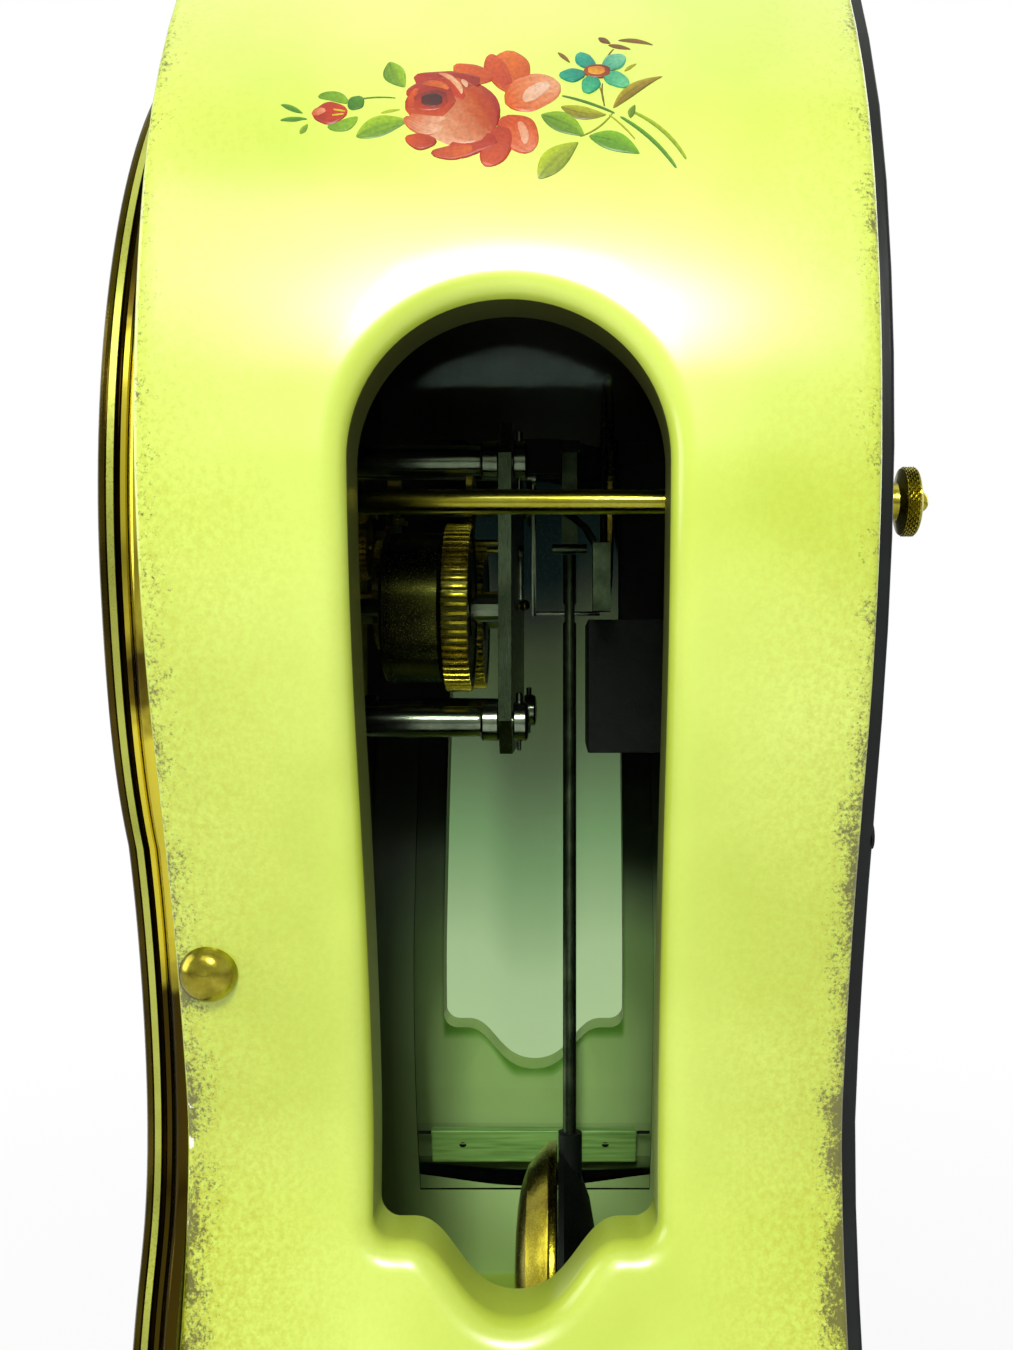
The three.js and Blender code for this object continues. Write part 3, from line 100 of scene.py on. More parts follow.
# A procedural material laid out in object coordinates
class Finish(Graph):
    def __init__(self, name):
        self.material = bpy.data.materials.new(name)
        self.material.use_nodes = True
        super().__init__(self.material.node_tree)
        self.place = self.add("TexCoord").outputs["Object"]

    def axis(self, letter):
        return self.add("SeparateXYZ", {"Vector": self.place}).outputs[letter]

    def stretched(self, scale):
        return self.add("Mapping", {"Vector": self.place, "Scale": scale})

    def noise(self, size, detail=2, rough=0.5, at=None):
        return self.add("TexNoise", {
            "Vector": at or self.place, "Scale": 1 / size, "Detail": detail, "Roughness": rough})

    def tint(self, factor, stops):
        node = self.add("ValToRGB", {"Fac": factor})
        elements = node.color_ramp.elements
        while len(elements) < len(stops):
            elements.new(0.5)
        for element, (place, colour) in zip(elements, stops):
            element.position = place
            element.color = hexLinear(colour)
        return node

    def blend(self, share, first, second):
        return self.add("Mix", {"Factor": share, "A": first, "B": second}, data_type="RGBA").outputs[2]

    def bump(self, height, strength, distance=0.0005):
        return self.add("Bump", {"Height": height, "Strength": strength, "Distance": distance})

    def close(self, shader):
        self.add("OutputMaterial", {"Surface": shader})
        return self.material

    def closePrincipled(self, inputs):
        return self.close(self.add("BsdfPrincipled", inputs))


def shown(name, data):
    piece = bpy.data.objects.new(name, data)
    bpy.context.collection.objects.link(piece)
    return piece


# Smooth shading, with corners sharper than `angle` degrees kept crisp
def crisp(mesh, angle):
    mesh.polygons.foreach_set("use_smooth", [True] * len(mesh.polygons))
    mesh.set_sharp_from_angle(angle=math.radians(angle))


@contextmanager
def opened(mesh):
    work = bmesh.new()
    work.from_mesh(mesh)
    yield work
    work.to_mesh(mesh)
    work.free()


# Quads between rings of `count` points, also from the last ring to the first, or else with both ends closed
def ringFaces(rings, count, around=False):
    faces = []
    for k in range(rings if around else rings - 1):
        here, there = k * count, (k + 1) % rings * count
        faces += [(here + i, here + (i + 1) % count, there + (i + 1) % count, there + i) for i in range(count)]
    return faces if around else faces + [tuple(range(count)), tuple(range((rings - 1) * count, rings * count))]


# A closed piece from points and faces: doubles merged, faces turned outwards
def closedPiece(name, points, faces, material, smooth=30):
    mesh = bpy.data.meshes.new(name)
    mesh.from_pydata([tuple(p) for p in points], [], faces)
    with opened(mesh) as work:
        bmesh.ops.remove_doubles(work, verts=work.verts, dist=0.002 * mm)
        bmesh.ops.recalc_face_normals(work, faces=work.faces)
    mesh.materials.append(material)
    crisp(mesh, smooth)
    return shown(name, mesh)


# A piece takes the place and the body of a CAD node
def standsFor(piece, slot, node):
    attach(piece, bodyOf[node])
    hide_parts(node)


# A piece added to a body beside its CAD nodes
def addedTo(piece, body):
    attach(piece, body)


# One piece from several: meshes joined, each keeping its own finish
def together(name, parts):
    mesh = bpy.data.meshes.new(name)
    finishes = []
    with opened(mesh) as work:
        for part in parts:
            first = len(work.faces)
            work.from_mesh(part.data)
            work.faces.ensure_lookup_table()
            finishes += [material for material in part.data.materials if material not in finishes]
            slots = [finishes.index(material) for material in part.data.materials]
            for face in work.faces[first:]:
                face.material_index = slots[min(face.material_index, len(slots) - 1)]
    for material in finishes:
        mesh.materials.append(material)
    for part in parts:
        bpy.data.objects.remove(part)
    return shown(name, mesh)


# Turns a piece and its modifiers into a plain mesh
def applyModifiers(piece):
    plain = bpy.data.meshes.new_from_object(piece.evaluated_get(bpy.context.evaluated_depsgraph_get()))
    piece.modifiers.clear()
    piece.data = plain


def cutOut(piece, cutter):
    cutting = piece.modifiers.new("cutOut", "BOOLEAN")
    cutting.object = cutter
    cutting.operation = "DIFFERENCE"
    cutting.solver = "EXACT"
    applyModifiers(piece)
    bpy.data.objects.remove(cutter)


# A line of points with its corners eased, open or closed
def eased(points, reach, closed=False, steps=3):
    out = []
    for i, here in enumerate(points):
        before, after = points[i - 1], points[(i + 1) % len(points)]
        near, far = math.dist(here, before), math.dist(here, after)
        if near < 1e-9 or far < 1e-9 or not closed and i in (0, len(points) - 1):
            out.append(here)
            continue
        a = tuple(h + (b - h) * min(reach / near, 0.45) for h, b in zip(here, before))
        c = tuple(h + (b - h) * min(reach / far, 0.45) for h, b in zip(here, after))
        for t in (k / steps for k in range(steps + 1)):
            out.append(tuple((1 - t) ** 2 * p + 2 * t * (1 - t) * q + t * t * r for p, q, r in zip(a, here, c)))
    return out


# A smooth line through points, each span weighted by the root of its length
def throughPoints(points, count):
    beyond = lambda a, b: tuple(2 * p - q for p, q in zip(a, b))
    blend = lambda a, b, ta, tb, t: tuple(p * (tb - t) / (tb - ta) + q * (t - ta) / (tb - ta) for p, q in zip(a, b))
    ends = [beyond(points[0], points[1])] + list(points) + [beyond(points[-1], points[-2])]
    out = [tuple(points[0])]
    for k in range(len(points) - 1):
        p = ends[k:k + 4]
        t = [0]
        for a, b in zip(p, p[1:]):
            t.append(t[-1] + max(math.dist(a, b), 1e-9) ** 0.5)
        for i in range(1, count + 1):
            s = t[1] + (t[2] - t[1]) * i / count
            a1, a2, a3 = (blend(p[j], p[j + 1], t[j], t[j + 1], s) for j in range(3))
            out.append(blend(blend(a1, a2, t[0], t[2], s), blend(a2, a3, t[1], t[3], s), t[1], t[2], s))
    return out


# The unit normals on the left of a closed loop
def leftNormals(loop):
    normals = []
    for i in range(len(loop)):
        (a, b), (c, d) = loop[i - 1], loop[(i + 1) % len(loop)]
        size = math.hypot(c - a, d - b)
        normals.append(((b - d) / size, (c - a) / size))
    return normals


turns = {"X": lambda x, y, z: (z, x, y), "Y": lambda x, y, z: (y, z, x), "Z": lambda x, y, z: (x, y, z)}


# A turned piece: rows of (radius, place along the axis); a profile that starts off the axis closes on itself
def turnedPiece(name, profile, material, axis="Z", centre=(0, 0, 0), sides=64, smooth=30):
    points, faces, rings = [], [], []
    for radius, along in profile:
        first = len(points)
        if radius < 1e-7:
            points.append((0, 0, along))
            rings.append([first] * sides)
        else:
            turned = (2 * math.pi * i / sides for i in range(sides))
            points += [(radius * math.cos(turn), radius * math.sin(turn), along) for turn in turned]
            rings.append(list(range(first, first + sides)))
    joined = rings[:1] if profile[0][0] > 1e-7 else []
    for low, high in zip(rings, rings[1:] + joined):
        for i in range(sides):
            j = (i + 1) % sides
            face = list(dict.fromkeys((low[i], low[j], high[j], high[i])))
            if len(face) > 2:
                faces.append(face)
    placed = [tuple(c + p for c, p in zip(centre, turns[axis](*point))) for point in points]
    return closedPiece(name, placed, faces, material, smooth)


# Rows of a profile: (radius, place) in millimetres, the place counted from `start`
def rowsFrom(start, rows):
    return [(radius * mm, start + along * mm) for radius, along in rows]


# Rows of a profile as shares of its radius and of its height
def sharesOf(radius, low, high, rows):
    return [(out * radius, low + up * (high - low)) for out, up in rows]


def domeRows(radius, start, rise, angles):
    return [(radius * math.cos(a), start + rise * math.sin(a)) for a in angles]


# A bar with eased edges, between two corners
def barPiece(name, low, high, material, ease=0.25 * mm):
    outline = eased([(low[0], low[1]), (high[0], low[1]), (high[0], high[1]), (low[0], high[1])], ease, True)
    middle = [(a + b) / 2 for a, b in zip(low, high)]
    halves = [(b - a) / 2 for a, b in zip(low, high)]
    points = []
    for z, inwards in ((low[2], ease), (low[2] + ease * 0.3, ease * 0.3), (low[2] + ease, 0),
                       (high[2] - ease, 0), (high[2] - ease * 0.3, ease * 0.3), (high[2], ease)):
        points += [(middle[0] + (x - middle[0]) * (1 - inwards / halves[0]),
                    middle[1] + (y - middle[1]) * (1 - inwards / halves[1]), z) for x, y in outline]
    return closedPiece(name, points, ringFaces(6, len(outline)), material)


# A copy of a CAD node with its edges eased so that they catch the light
def easedCopy(node, name, material, width, angle=30):
    mesh = frame["nodes"][node].data.copy()
    mesh.name = name
    with opened(mesh) as work:
        bmesh.ops.remove_doubles(work, verts=work.verts, dist=0.004 * mm)
        bmesh.ops.dissolve_limit(work, angle_limit=math.radians(0.6), verts=work.verts, edges=work.edges)
    mesh.materials.clear()
    mesh.materials.append(material)
    crisp(mesh, angle)
    piece = shown(name, mesh)
    if width:
        bevel = piece.modifiers.new("easedEdges", "BEVEL")
        bevel.width = width
        bevel.segments = 2
        bevel.limit_method = "ANGLE"
        bevel.angle_limit = math.radians(angle)
        bevel.harden_normals = True
        applyModifiers(piece)
    return piece


# Repeats made by a node tree: small shapes set on a cylinder in rows and columns,
# each row stepped by a share of the pitch
def cylinderRepeats():
    tree = bpy.data.node_groups.new("cylinderRepeats", "GeometryNodeTree")
    tree.interface.new_socket("Geometry", in_out="OUTPUT", socket_type="NodeSocketGeometry")
    kinds = {"Unit": "Object", "Columns": "Int", "Rows": "Int", "Radius": "Float", "Length": "Float",
             "Stagger": "Float", "Finish": "Material"}
    for label, kind in kinds.items():
        tree.interface.new_socket(label, in_out="INPUT", socket_type="NodeSocket" + kind)
    g = Graph(tree)
    given = addNode(tree, "NodeGroupInput").outputs
    index = addNode(tree, "GeometryNodeInputIndex")
    row = g.calc("FLOOR", g.calc("DIVIDE", index, given["Columns"]))
    place = g.calc("ADD", index, g.calc("MULTIPLY", row, given["Stagger"]))
    turn = g.calc("MULTIPLY", g.calc("DIVIDE", place, given["Columns"]), 2 * math.pi)
    level = g.calc("DIVIDE", g.calc("ADD", row, 0.5), given["Rows"])
    spot = g.add("CombineXYZ", {
        "X": g.calc("MULTIPLY", g.calc("COSINE", turn), given["Radius"]),
        "Y": g.calc("MULTIPLY", g.calc("SINE", turn), given["Radius"]),
        "Z": g.calc("MULTIPLY", level, given["Length"])})
    line = addNode(tree, "GeometryNodeMeshLine", {"Count": g.calc("MULTIPLY", given["Columns"], given["Rows"])})
    unit = addNode(tree, "GeometryNodeObjectInfo", {"Object": given["Unit"]})
    copies = addNode(tree, "GeometryNodeInstanceOnPoints", {
        "Points": addNode(tree, "GeometryNodeSetPosition", {"Geometry": line, "Position": spot}),
        "Instance": unit.outputs["Geometry"], "Rotation": g.add("CombineXYZ", {"Z": turn})})
    real = addNode(tree, "GeometryNodeRealizeInstances", {"Geometry": copies})
    addNode(tree, "NodeGroupOutput", {
        "Geometry": addNode(tree, "GeometryNodeSetMaterial", {"Geometry": real, "Material": given["Finish"]})})
    return tree


repeatTree = cylinderRepeats()


# Runs the tree for one dictionary of sizes and stands the result on its axis
def repeated(name, unit, row, material, axis="Z", centre=(0, 0, 0)):
    holder = shown(name, bpy.data.meshes.new(name))
    nodes = holder.modifiers.new("repeats", "NODES")
    nodes.node_group = repeatTree
    values = {"Unit": unit, "Columns": row["columns"], "Rows": row.get("rows", 1), "Radius": row["radius"],
              "Length": row.get("length", 0.0), "Stagger": row.get("stagger", 0.0), "Finish": material}
    for item in repeatTree.interface.items_tree:
        if item.in_out == "INPUT":
            nodes[item.identifier] = values[item.name]
    applyModifiers(holder)
    for vertex in holder.data.vertices:
        vertex.co = Vector(turns[axis](*vertex.co)) + Vector(centre)
    crisp(holder.data, 30)
    bpy.data.objects.remove(unit)
    return holder


# Camera: square at the side; the photograph is framed a little to the left of that and below
photo = {"width": 1013, "height": 1350, "focal": 1400, "across": 565, "down": 675, "viewDown": 668}
camera = shown("camera", bpy.data.cameras.new("camera"))
camera.data.lens = 36 * photo["focal"] / photo["height"]
camera.data.sensor_width = 36
camera.data.clip_start = 0.01
camera.data.clip_end = 20
camera.data.dof.use_dof = False
camera.data.shift_x = (photo["width"] / 2 - photo["across"]) / photo["height"]
camera.data.shift_y = (photo["viewDown"] - photo["down"]) / photo["height"]
camera.location = (0.368, 0.00595, 0.232)
camera.rotation_euler = (math.pi / 2, 0, math.pi / 2)
bpy.context.scene.camera = camera
bpy.context.scene.view_settings.view_transform = "Standard"
print("camera set")

# World: white to the camera, to metal and through glass, plain grey light on the object
world = bpy.data.worlds.new("world")
bpy.context.scene.world = world
world.use_nodes = True
g = Graph(world.node_tree)
white, glossy, grey = (g.add("Background", {"Color": colour + (1,), "Strength": strength}) for colour, strength in (
    ((1, 1, 1), 1.0), ((0.80, 0.83, 0.72), 0.8), ((1, 1, 1), 0.30)))
onObject = g.mixed(g.add("LightPath").outputs["Is Glossy Ray"], grey, glossy)
g.add("OutputWorld", {"Surface": g.mixed(g.either("Camera", "Transmission"), onObject, white)})


def placeLamp(name, kind, row, **settings):
    lamp = shown(name, bpy.data.lights.new(name, kind))
    for key, value in settings.items():
        setattr(lamp.data, key, value)
    lamp.data.energy = row["watts"]
    lamp.location = row["at"]
    lamp.rotation_euler = (Vector(row["to"]) - Vector(row["at"])).to_track_quat("-Z", "Y").to_euler()


softboxes = {
    "sideSoftbox": {"at": (0.95, -0.35, 1.0), "to": (0.05, 0, 0.22), "side": 0.4, "watts": 1.2, "shape": "SQUARE"},
    "besideCamera": {"at": (0.80, -0.02, 0.64), "to": (0.0, 0, 0.16), "side": 0.24, "watts": 4.6, "shape": "DISK"},
    "frontSoftbox": {"at": (0.15, -1.15, 0.55), "to": (0, 0, 0.22), "side": 0.8, "watts": 6.0, "shape": "SQUARE"},
    "backFill": {"at": (-0.55, 0.85, 0.7), "to": (0, 0, 0.2), "side": 0.9, "watts": 3.0, "shape": "SQUARE"},
    "topSoftbox": {"at": (0, 0, 1.2), "to": (0, 0, 0.2), "side": 0.8, "watts": 1.4, "shape": "SQUARE"},
}
for name, row in softboxes.items():
    placeLamp(name, "AREA", row, shape=row["shape"], size=row["side"])
# a narrow beam through the near window brings out the foot of the case behind the bob
beam = {"at": (0.62, -0.01, 0.47), "to": (-0.10, -0.004, 0.085), "watts": 11.0}
placeLamp("intoWindow", "SPOT", beam, spot_size=math.radians(5.6), spot_blend=0.6, shadow_soft_size=0.012)
print("lamps set")

# Floor: pale, with the object's shadow near it, lifted to white for the camera, fully so from half a metre off
bpy.ops.mesh.primitive_plane_add(size=6, location=(0, 0, -0.0002))
floor = bpy.context.object
floor.name = "paleFloor"
g = Finish("paleFloorPaint")
away = g.add("VectorMath", {0: g.place}, operation="LENGTH").outputs["Value"]
share = g.calc("MULTIPLY", g.span(away, 0.2, 0.55, 0.9, 1), g.either("Camera", "Transmission"))
floor.data.materials.append(g.close(g.mixed(share, g.add("BsdfDiffuse", {"Color": (0.8, 0.8, 0.8, 1)}),
                                            g.add("Emission", {"Color": (1, 1, 1, 1), "Strength": 1.0}))))
print("floor set")


# Cream lacquer sprayed over a white ground: gold mottling and brown spatter thicken towards the edges
def sprayedLacquer(name, row):
    g = Finish(name)
    y, z, front, back = g.axis("Y"), g.axis("Z"), row["front"], row["back"]
    base = g.tint(g.noise(row["cloud"], 3), [(0.35, row["dark"]), (0.5, row["colour"]), (0.68, row["pale"])])
    # nearness to the front and back edges, wide for the gold mottling and narrow for the spatter
    wide, narrow = (g.calc("MAXIMUM", g.span(y, front, front + reach, 1, 0), g.span(y, back - reach * 0.9, back))
                    for reach in (row["reach"] * 3.2, row["reach"]))
    low = g.span(z, 0.10, 0.27, 1.0, 0.5)
    soft = g.span(g.noise(row["mottle"], 4, 0.7), 0.38, 0.66, 0.15)
    gold = g.calc("MULTIPLY", g.calc("MULTIPLY", g.calc("ADD", wide, 0.12), soft), low, use_clamp=True)
    # no spatter on the front face itself
    rising = g.span(y, front + 0.1 * mm, front + 0.5 * mm)
    dense = g.calc("MULTIPLY", narrow, g.calc("MULTIPLY", rising, low))
    spread = g.calc("MULTIPLY", g.noise(row["patch"]), dense)
    spatter = g.span(g.calc("ADD", g.noise(row["speck"], 4, 0.75), spread), 0.76, 0.92, 0, 0.9)
    stained = g.blend(spatter, g.blend(gold, base, row["gold"]), row["spatter"])
    # chips: white ground bared on the very edge, low down
    arris = g.calc("MULTIPLY", rising, g.span(y, front + 0.5 * mm, front + row["chipReach"], 1, 0))
    struck = g.calc("MULTIPLY_ADD", arris, 0.20, g.noise(row["chip"], 3, 0.6))
    chips = g.span(g.calc("SUBTRACT", struck, g.span(z, 0.16, 0.20, 0, 0.16)), 0.80, 0.83)
    return g.closePrincipled({
        "Base Color": g.blend(chips, stained, row["ground"]), "Roughness": 0.36, "Coat Weight": 1.0,
        "Coat Roughness": 0.21, "Normal": g.bump(g.noise(row["ripple"]), 0.05, 0.001)})


lacquer = {"colour": "#d4e95c", "dark": "#c8de4c", "pale": "#ddf26c", "gold": "#bec22a", "spatter": "#5c5614",
           "ground": "#f4f6e6", "front": -0.06895, "back": 0.06105, "reach": 11 * mm, "chipReach": 3.0 * mm,
           "cloud": 60 * mm, "mottle": 1.3 * mm, "speck": 0.85 * mm, "patch": 9 * mm, "ripple": 14 * mm, "chip": 4 * mm}
creamLacquer = sprayedLacquer("creamLacquer", lacquer)
# the same lacquer on boards that nothing has rubbed or splashed: the worn edges lie beyond the clock
plainLacquer = sprayedLacquer("unwornCreamLacquer", {**lacquer, "front": -1, "back": 1})


# A polished or turned metal: fine scratches in its roughness, tarnish in soft clouds; both are sized in millimetres
def workedMetal(name, colour, tarnish, bright, cloud, scratch, smooth, rough, relief=0.05, stretch=(1, 1, 1),
                metallic=1.0, shine=0.5):
    g = Finish(name)
    marks = g.noise(scratch * mm, at=g.stretched(stretch))
    return g.closePrincipled({
        "Base Color": g.tint(g.noise(cloud * mm, 4, 0.6), [(0.30, tarnish), (0.52, colour), (0.72, bright)]),
        "Metallic": metallic, "Roughness": g.span(marks, 0.3, 0.7, smooth, rough),
        "Normal": g.bump(marks, relief, 0.0004), "Specular IOR Level": shine})


polishedBrass = workedMetal("polishedBrass", "#bcae3c", "#9c8e2c", "#d4c858", 18, 0.5, 0.15, 0.22, relief=0.005)
cutBrass = workedMetal("cutBrass", "#b8a53a", "#7d6e22", "#d0c056", 8, 0.35, 0.24, 0.42)
turnedSteel = workedMetal("turnedSteel", "#7c8474", "#5c6456", "#98a090", 16, 0.4, 0.16, 0.22, relief=0.0)
oiledSteel = workedMetal("oiledSteel", "#4e5a44", "#2c3426", "#6c785c", 9, 0.4, 0.30, 0.48)
bluedSteel = workedMetal("bluedSteel", "#20264a", "#161a30", "#343c6c", 8, 0.4, 0.20, 0.32)
blackedIron = workedMetal("blackedIron", "#0b100b", "#060906", "#131811", 9, 0.6, 0.50, 0.70, relief=0.15,
                          metallic=0.0, shine=0.2)
# Case brass that has hung in a smoky room: bright where it was wiped, brown in long upright bands where it was not
bandedBrass = workedMetal("wipedBandedBrass", "#c9b030", "#4a3a0c", "#e6cf4a", 52, 0.5, 0.12, 0.26,
                          stretch=(1, 1, 0.25))
# Satin brass that no hand reaches: pale, even
satinBrass = workedMetal("satinPaleBrass", "#bcc25c", "#a6aa4a", "#ccd26e", 30, 0.5, 0.26, 0.36, relief=0.0)
# Dark copy of the door's brass on its bead and swelled nose: painted shade, mirroring the room in a thin line
shadedBrass = workedMetal("shadedDoorBrass", "#4a3e12", "#2e260a", "#66581c", 40, 0.4, 0.09, 0.18)
# Turned and knurled fittings, handled and dull
dullBrass = workedMetal("handledBrass", "#9a9030", "#6e6620", "#c0b848", 6, 0.35, 0.18, 0.26, relief=0.01)
bobBrass = workedMetal("spunBobBrass", "#a8962c", "#5e4c18", "#ccb944", 14, 0.4, 0.14, 0.30)
# Drum darkened with painted shade for the dusk inside the case, its wheel filed bright on the tooth tips only
shadedBarrelBrass = workedMetal("barrelBrassPaintedShade", "#4a4a1c", "#343414", "#5c5c24", 14, 0.4, 0.24, 0.28, relief=0.0)
toothBrass = workedMetal("filedToothBrass", "#c8b430", "#9a8820", "#e0d054", 4, 0.3, 0.22, 0.36)
# Gong wire darkened: painted shade inside the case; the ball nut shares it
goldenWire = workedMetal("drawnGoldenWire", "#6e6222", "#4a4216", "#988a36", 6, 0.3, 0.20, 0.30, relief=0.0)
# Grained plate, grey-green and darkened: painted shade for the back of the movement inside the case
shadedPlateMetal = workedMetal("grainedPlate", "#4c5644", "#363e30", "#707a66", 20, 0.4, 0.24, 0.36, relief=0.02,
                         stretch=(1, 1, 0.15))
# Black drawing enamel of the dial figures, slightly proud
dialPaint = workedMetal("dialBlack", "#12140f", "#0c0d0a", "#1c1e18", 5, 0.5, 0.25, 0.4, metallic=0.0)


# Colours that change with the height, their borders wandering with a noise
def byHeight(g, row, detail=3):
    sway = g.span(g.noise(row["wander"], detail), 0.3, 0.7, -row["sway"], row["sway"])
    level = g.calc("ADD", g.axis("Z"), sway)
    return g.tint(g.span(level, row["low"], row["high"]), row["stops"])


# Rim brass: bright in bands beside the dial and the button, brown between and above; the bands are painted highlights
# and shade on the curved rim
g = Finish("rimBrassPaintedHighlights")
bandLitRimBrass = g.closePrincipled({"Metallic": 1.0, "Roughness": 0.17, "Base Color": byHeight(g, {
    "low": 0.03, "high": 0.38, "wander": 9 * mm, "sway": 5 * mm,
    "stops": [(0.0, "#6a5a18"), (0.22, "#4a3c10"), (0.39, "#3c300c"), (0.425, "#d8c83c"), (0.54, "#e0d044"),
              (0.56, "#5a4c14"), (0.585, "#4a3c10"), (0.61, "#c8b838"), (0.74, "#d0c040"), (0.775, "#4a3c10"),
              (1.0, "#8a7a28")]})})


# Inside of the case: lacquer gone green low down, with painted shade darkening it above the bob and towards the front
def smokedInside(name, row):
    g = Finish(name)
    # painted shade: darker towards the front, where the front board shades the inside
    front = g.span(g.axis("Y"), -0.050, -0.022, 0.84, 0)
    return g.closePrincipled({"Base Color": g.blend(front, byHeight(g, row), row["frontShade"]), "Roughness": 0.42})


insideLacquerPaintedShade = smokedInside("insideLacquerWithPaintedShade", {
    "low": 0.02, "high": 0.22, "wander": 30 * mm, "sway": 4 * mm, "frontShade": "#20281a",
    "stops": [(0.0, "#d2f0aa"), (0.48, "#cceca2"), (0.64, "#aed488"), (0.78, "#566c46"), (0.88, "#2a3626"),
              (1.0, "#1c241a")]})
# Jamb of the side windows: the cream lacquer turned olive where it turns in, darker upwards and towards the front:
# painted shade
jambLacquerPaintedShade = smokedInside("jambLacquerWithPaintedShade", {
    "low": 0.10, "high": 0.30, "wander": 20 * mm, "sway": 3 * mm, "frontShade": "#5c6428",
    "stops": [(0.0, "#bcd070"), (0.2, "#98a658"), (0.5, "#6c7430"), (0.8, "#4c5020"), (1.0, "#3c4018")]})

# Black lacquered board: near-black, blue-green bloom, brush ripples along Z
g = Finish("blackLacquer")
blackLacquer = g.closePrincipled({
    "Base Color": g.tint(g.noise(18 * mm, 4), [(0.35, "#080b0b"), (0.55, "#0f1413"), (0.75, "#181f1e")]),
    "Roughness": 0.42, "Normal": g.bump(g.noise(1.2 * mm, at=g.stretched((1, 1, 0.06))), 0.08),
    "Specular IOR Level": 0.3})

# Painted softwood: thin green-cream paint, grain along Y just showing
g = Finish("battenPaint")
grain = g.noise(1.5 * mm, 4, at=g.stretched((1, 0.08, 1)))
battenPaint = g.closePrincipled({
    "Base Color": g.tint(grain, [(0.3, "#6f9a52"), (0.5, "#8ebc66"), (0.7, "#a2cf78")]),
    "Roughness": 0.55, "Normal": g.bump(grain, 0.15)})

# Fired white enamel on copper: glassy, faint orange peel
g = Finish("whiteEnamel")
peel = g.noise(4 * mm)
whiteEnamel = g.closePrincipled({
    "Base Color": g.tint(peel, [(0.3, "#e6e8d2"), (0.7, "#eeefdc")]), "Roughness": 0.12, "Normal": g.bump(peel, 0.03),
    "Coat Weight": 0.5, "Coat Roughness": 0.04})

# Oil paint put on with a brush: colour from the strokes, satin, faint ridges
g = Finish("brushedOilPaint")
thin = g.noise(0.7 * mm, 3)
worn = g.add("HueSaturation", {"Color": g.add("Attribute", attribute_name="paint"), "Saturation": 1.22,
                               "Value": g.span(thin, 0.3, 0.7, 0.56, 0.80)})
brushedOil = g.closePrincipled({"Base Color": worn, "Roughness": 0.45, "Normal": g.bump(thin, 0.1, 0.0003),
                                "Coat Weight": 0.15, "Coat Roughness": 0.21})

# Drawn sheet glass: clear, faint wave; a shadow ray passes so that the inside is lit
g = Finish("sheetGlass")
glass = g.add("BsdfPrincipled", {
    "Base Color": (0.95, 1.0, 0.95, 1), "Roughness": 0.01, "IOR": 1.5, "Transmission Weight": 1.0,
    "Normal": g.bump(g.noise(30 * mm, 1), 0.02, 0.001)})
passing = g.add("BsdfTransparent", {"Color": (0.92, 0.96, 0.9, 1)})
sheetGlass = g.close(g.mixed(g.either("Shadow", "Diffuse"), glass, passing))


# Window glass with a film that darkens upwards: a dark sheet of painted shade, so the movement sits in dusk
def filmedGlass(name, row):
    g = Finish(name)
    apart = g.calc("ABSOLUTE", g.calc("SUBTRACT", g.axis("Y"), row["middle"]))
    # the film starts at the sill, which is lobed: lowest in the middle
    lobe = g.span(apart, 5 * mm, 18 * mm, 0, row["lobe"], interpolation_type="SMOOTHSTEP")
    film = g.tint(g.span(g.calc("SUBTRACT", g.axis("Z"), lobe), row["low"], row["high"]), row["stops"])
    covered = g.span(apart, row["half"] - 0.6 * mm, row["half"] + 0.6 * mm)
    clear = g.add("BsdfTransparent", {"Color": g.blend(covered, film, row["kept"])})
    sheen = g.add("BsdfGlossy", {"Color": row["sheen"], "Roughness": 0.02})
    unshaded = g.calc("SUBTRACT", 1.0, g.add("LightPath").outputs["Is Shadow Ray"])
    return g.close(g.mixed(g.calc("MULTIPLY", g.add("Fresnel", {"IOR": 1.45}), unshaded), clear, sheen))


# the film lies on both faces of a pane, so each stop is the square root of what the pane lets through; where the wall
# covers the pane's border the pane is left clear
pane = {"middle": -3.95 * mm, "half": 28.4 * mm, "lobe": 13 * mm}
nearGlass = filmedGlass("wipedWindowGlass", {**pane, "low": 0.05, "high": 0.31, "sheen": "#1a1e1c", "kept": "#fafcf8",
                                             "stops": [(0.0, "#fafcf8"), (1.0, "#f6f9f4")]})
# the far pane carries the painted shade; the near one is all but clear
farGlass = filmedGlass("windowGlassPaintedShade", {
    **pane, "low": 0.06, "high": 0.30, "sheen": "#161a18", "kept": "#fbfdf8",
    "stops": [(0.0, "#fbfdf8"), (0.172, "#f9fcf5"), (0.184, "#dcebce"), (0.30, "#d8e7cb"), (0.45, "#b4cbab"),
              (0.58, "#98a58f"), (0.67, "#8c977e"), (0.74, "#818977"), (0.79, "#6a7068"), (0.84, "#495958"),
              (1.0, "#3a4846")]})

finishRows = [
    (creamLacquer, "right_side_panel left_side_panel"), (plainLacquer, "head_cap base_board"),
    (insideLacquerPaintedShade, "front_board"), (blackLacquer, "back_board"),
    (nearGlass, "right_window_glass"), (farGlass, "left_window_glass"), (sheetGlass, "door_glass"),
    (battenPaint, "right_glass_batten left_glass_batten"), (whiteEnamel, "dial_plate"),
    (turnedSteel, "door_catch left_upper_pillar right_upper_pillar left_lower_pillar right_lower_pillar "
                  "anchor_pallets crutch going_winding_arbor strike_winding_arbor"),
    (oiledSteel, "suspension_spring pendulum_rod"), (bluedSteel, "hour_hand minute_hand"),
    (blackedIron, "gong_stand suspension_cock bob_back"),
    (cutBrass, "front_plate back_plate going_barrel strike_barrel centre_wheel intermediate_wheel third_wheel "
               "escape_wheel strike_wheel fly minute_wheel hour_wheel"),
]
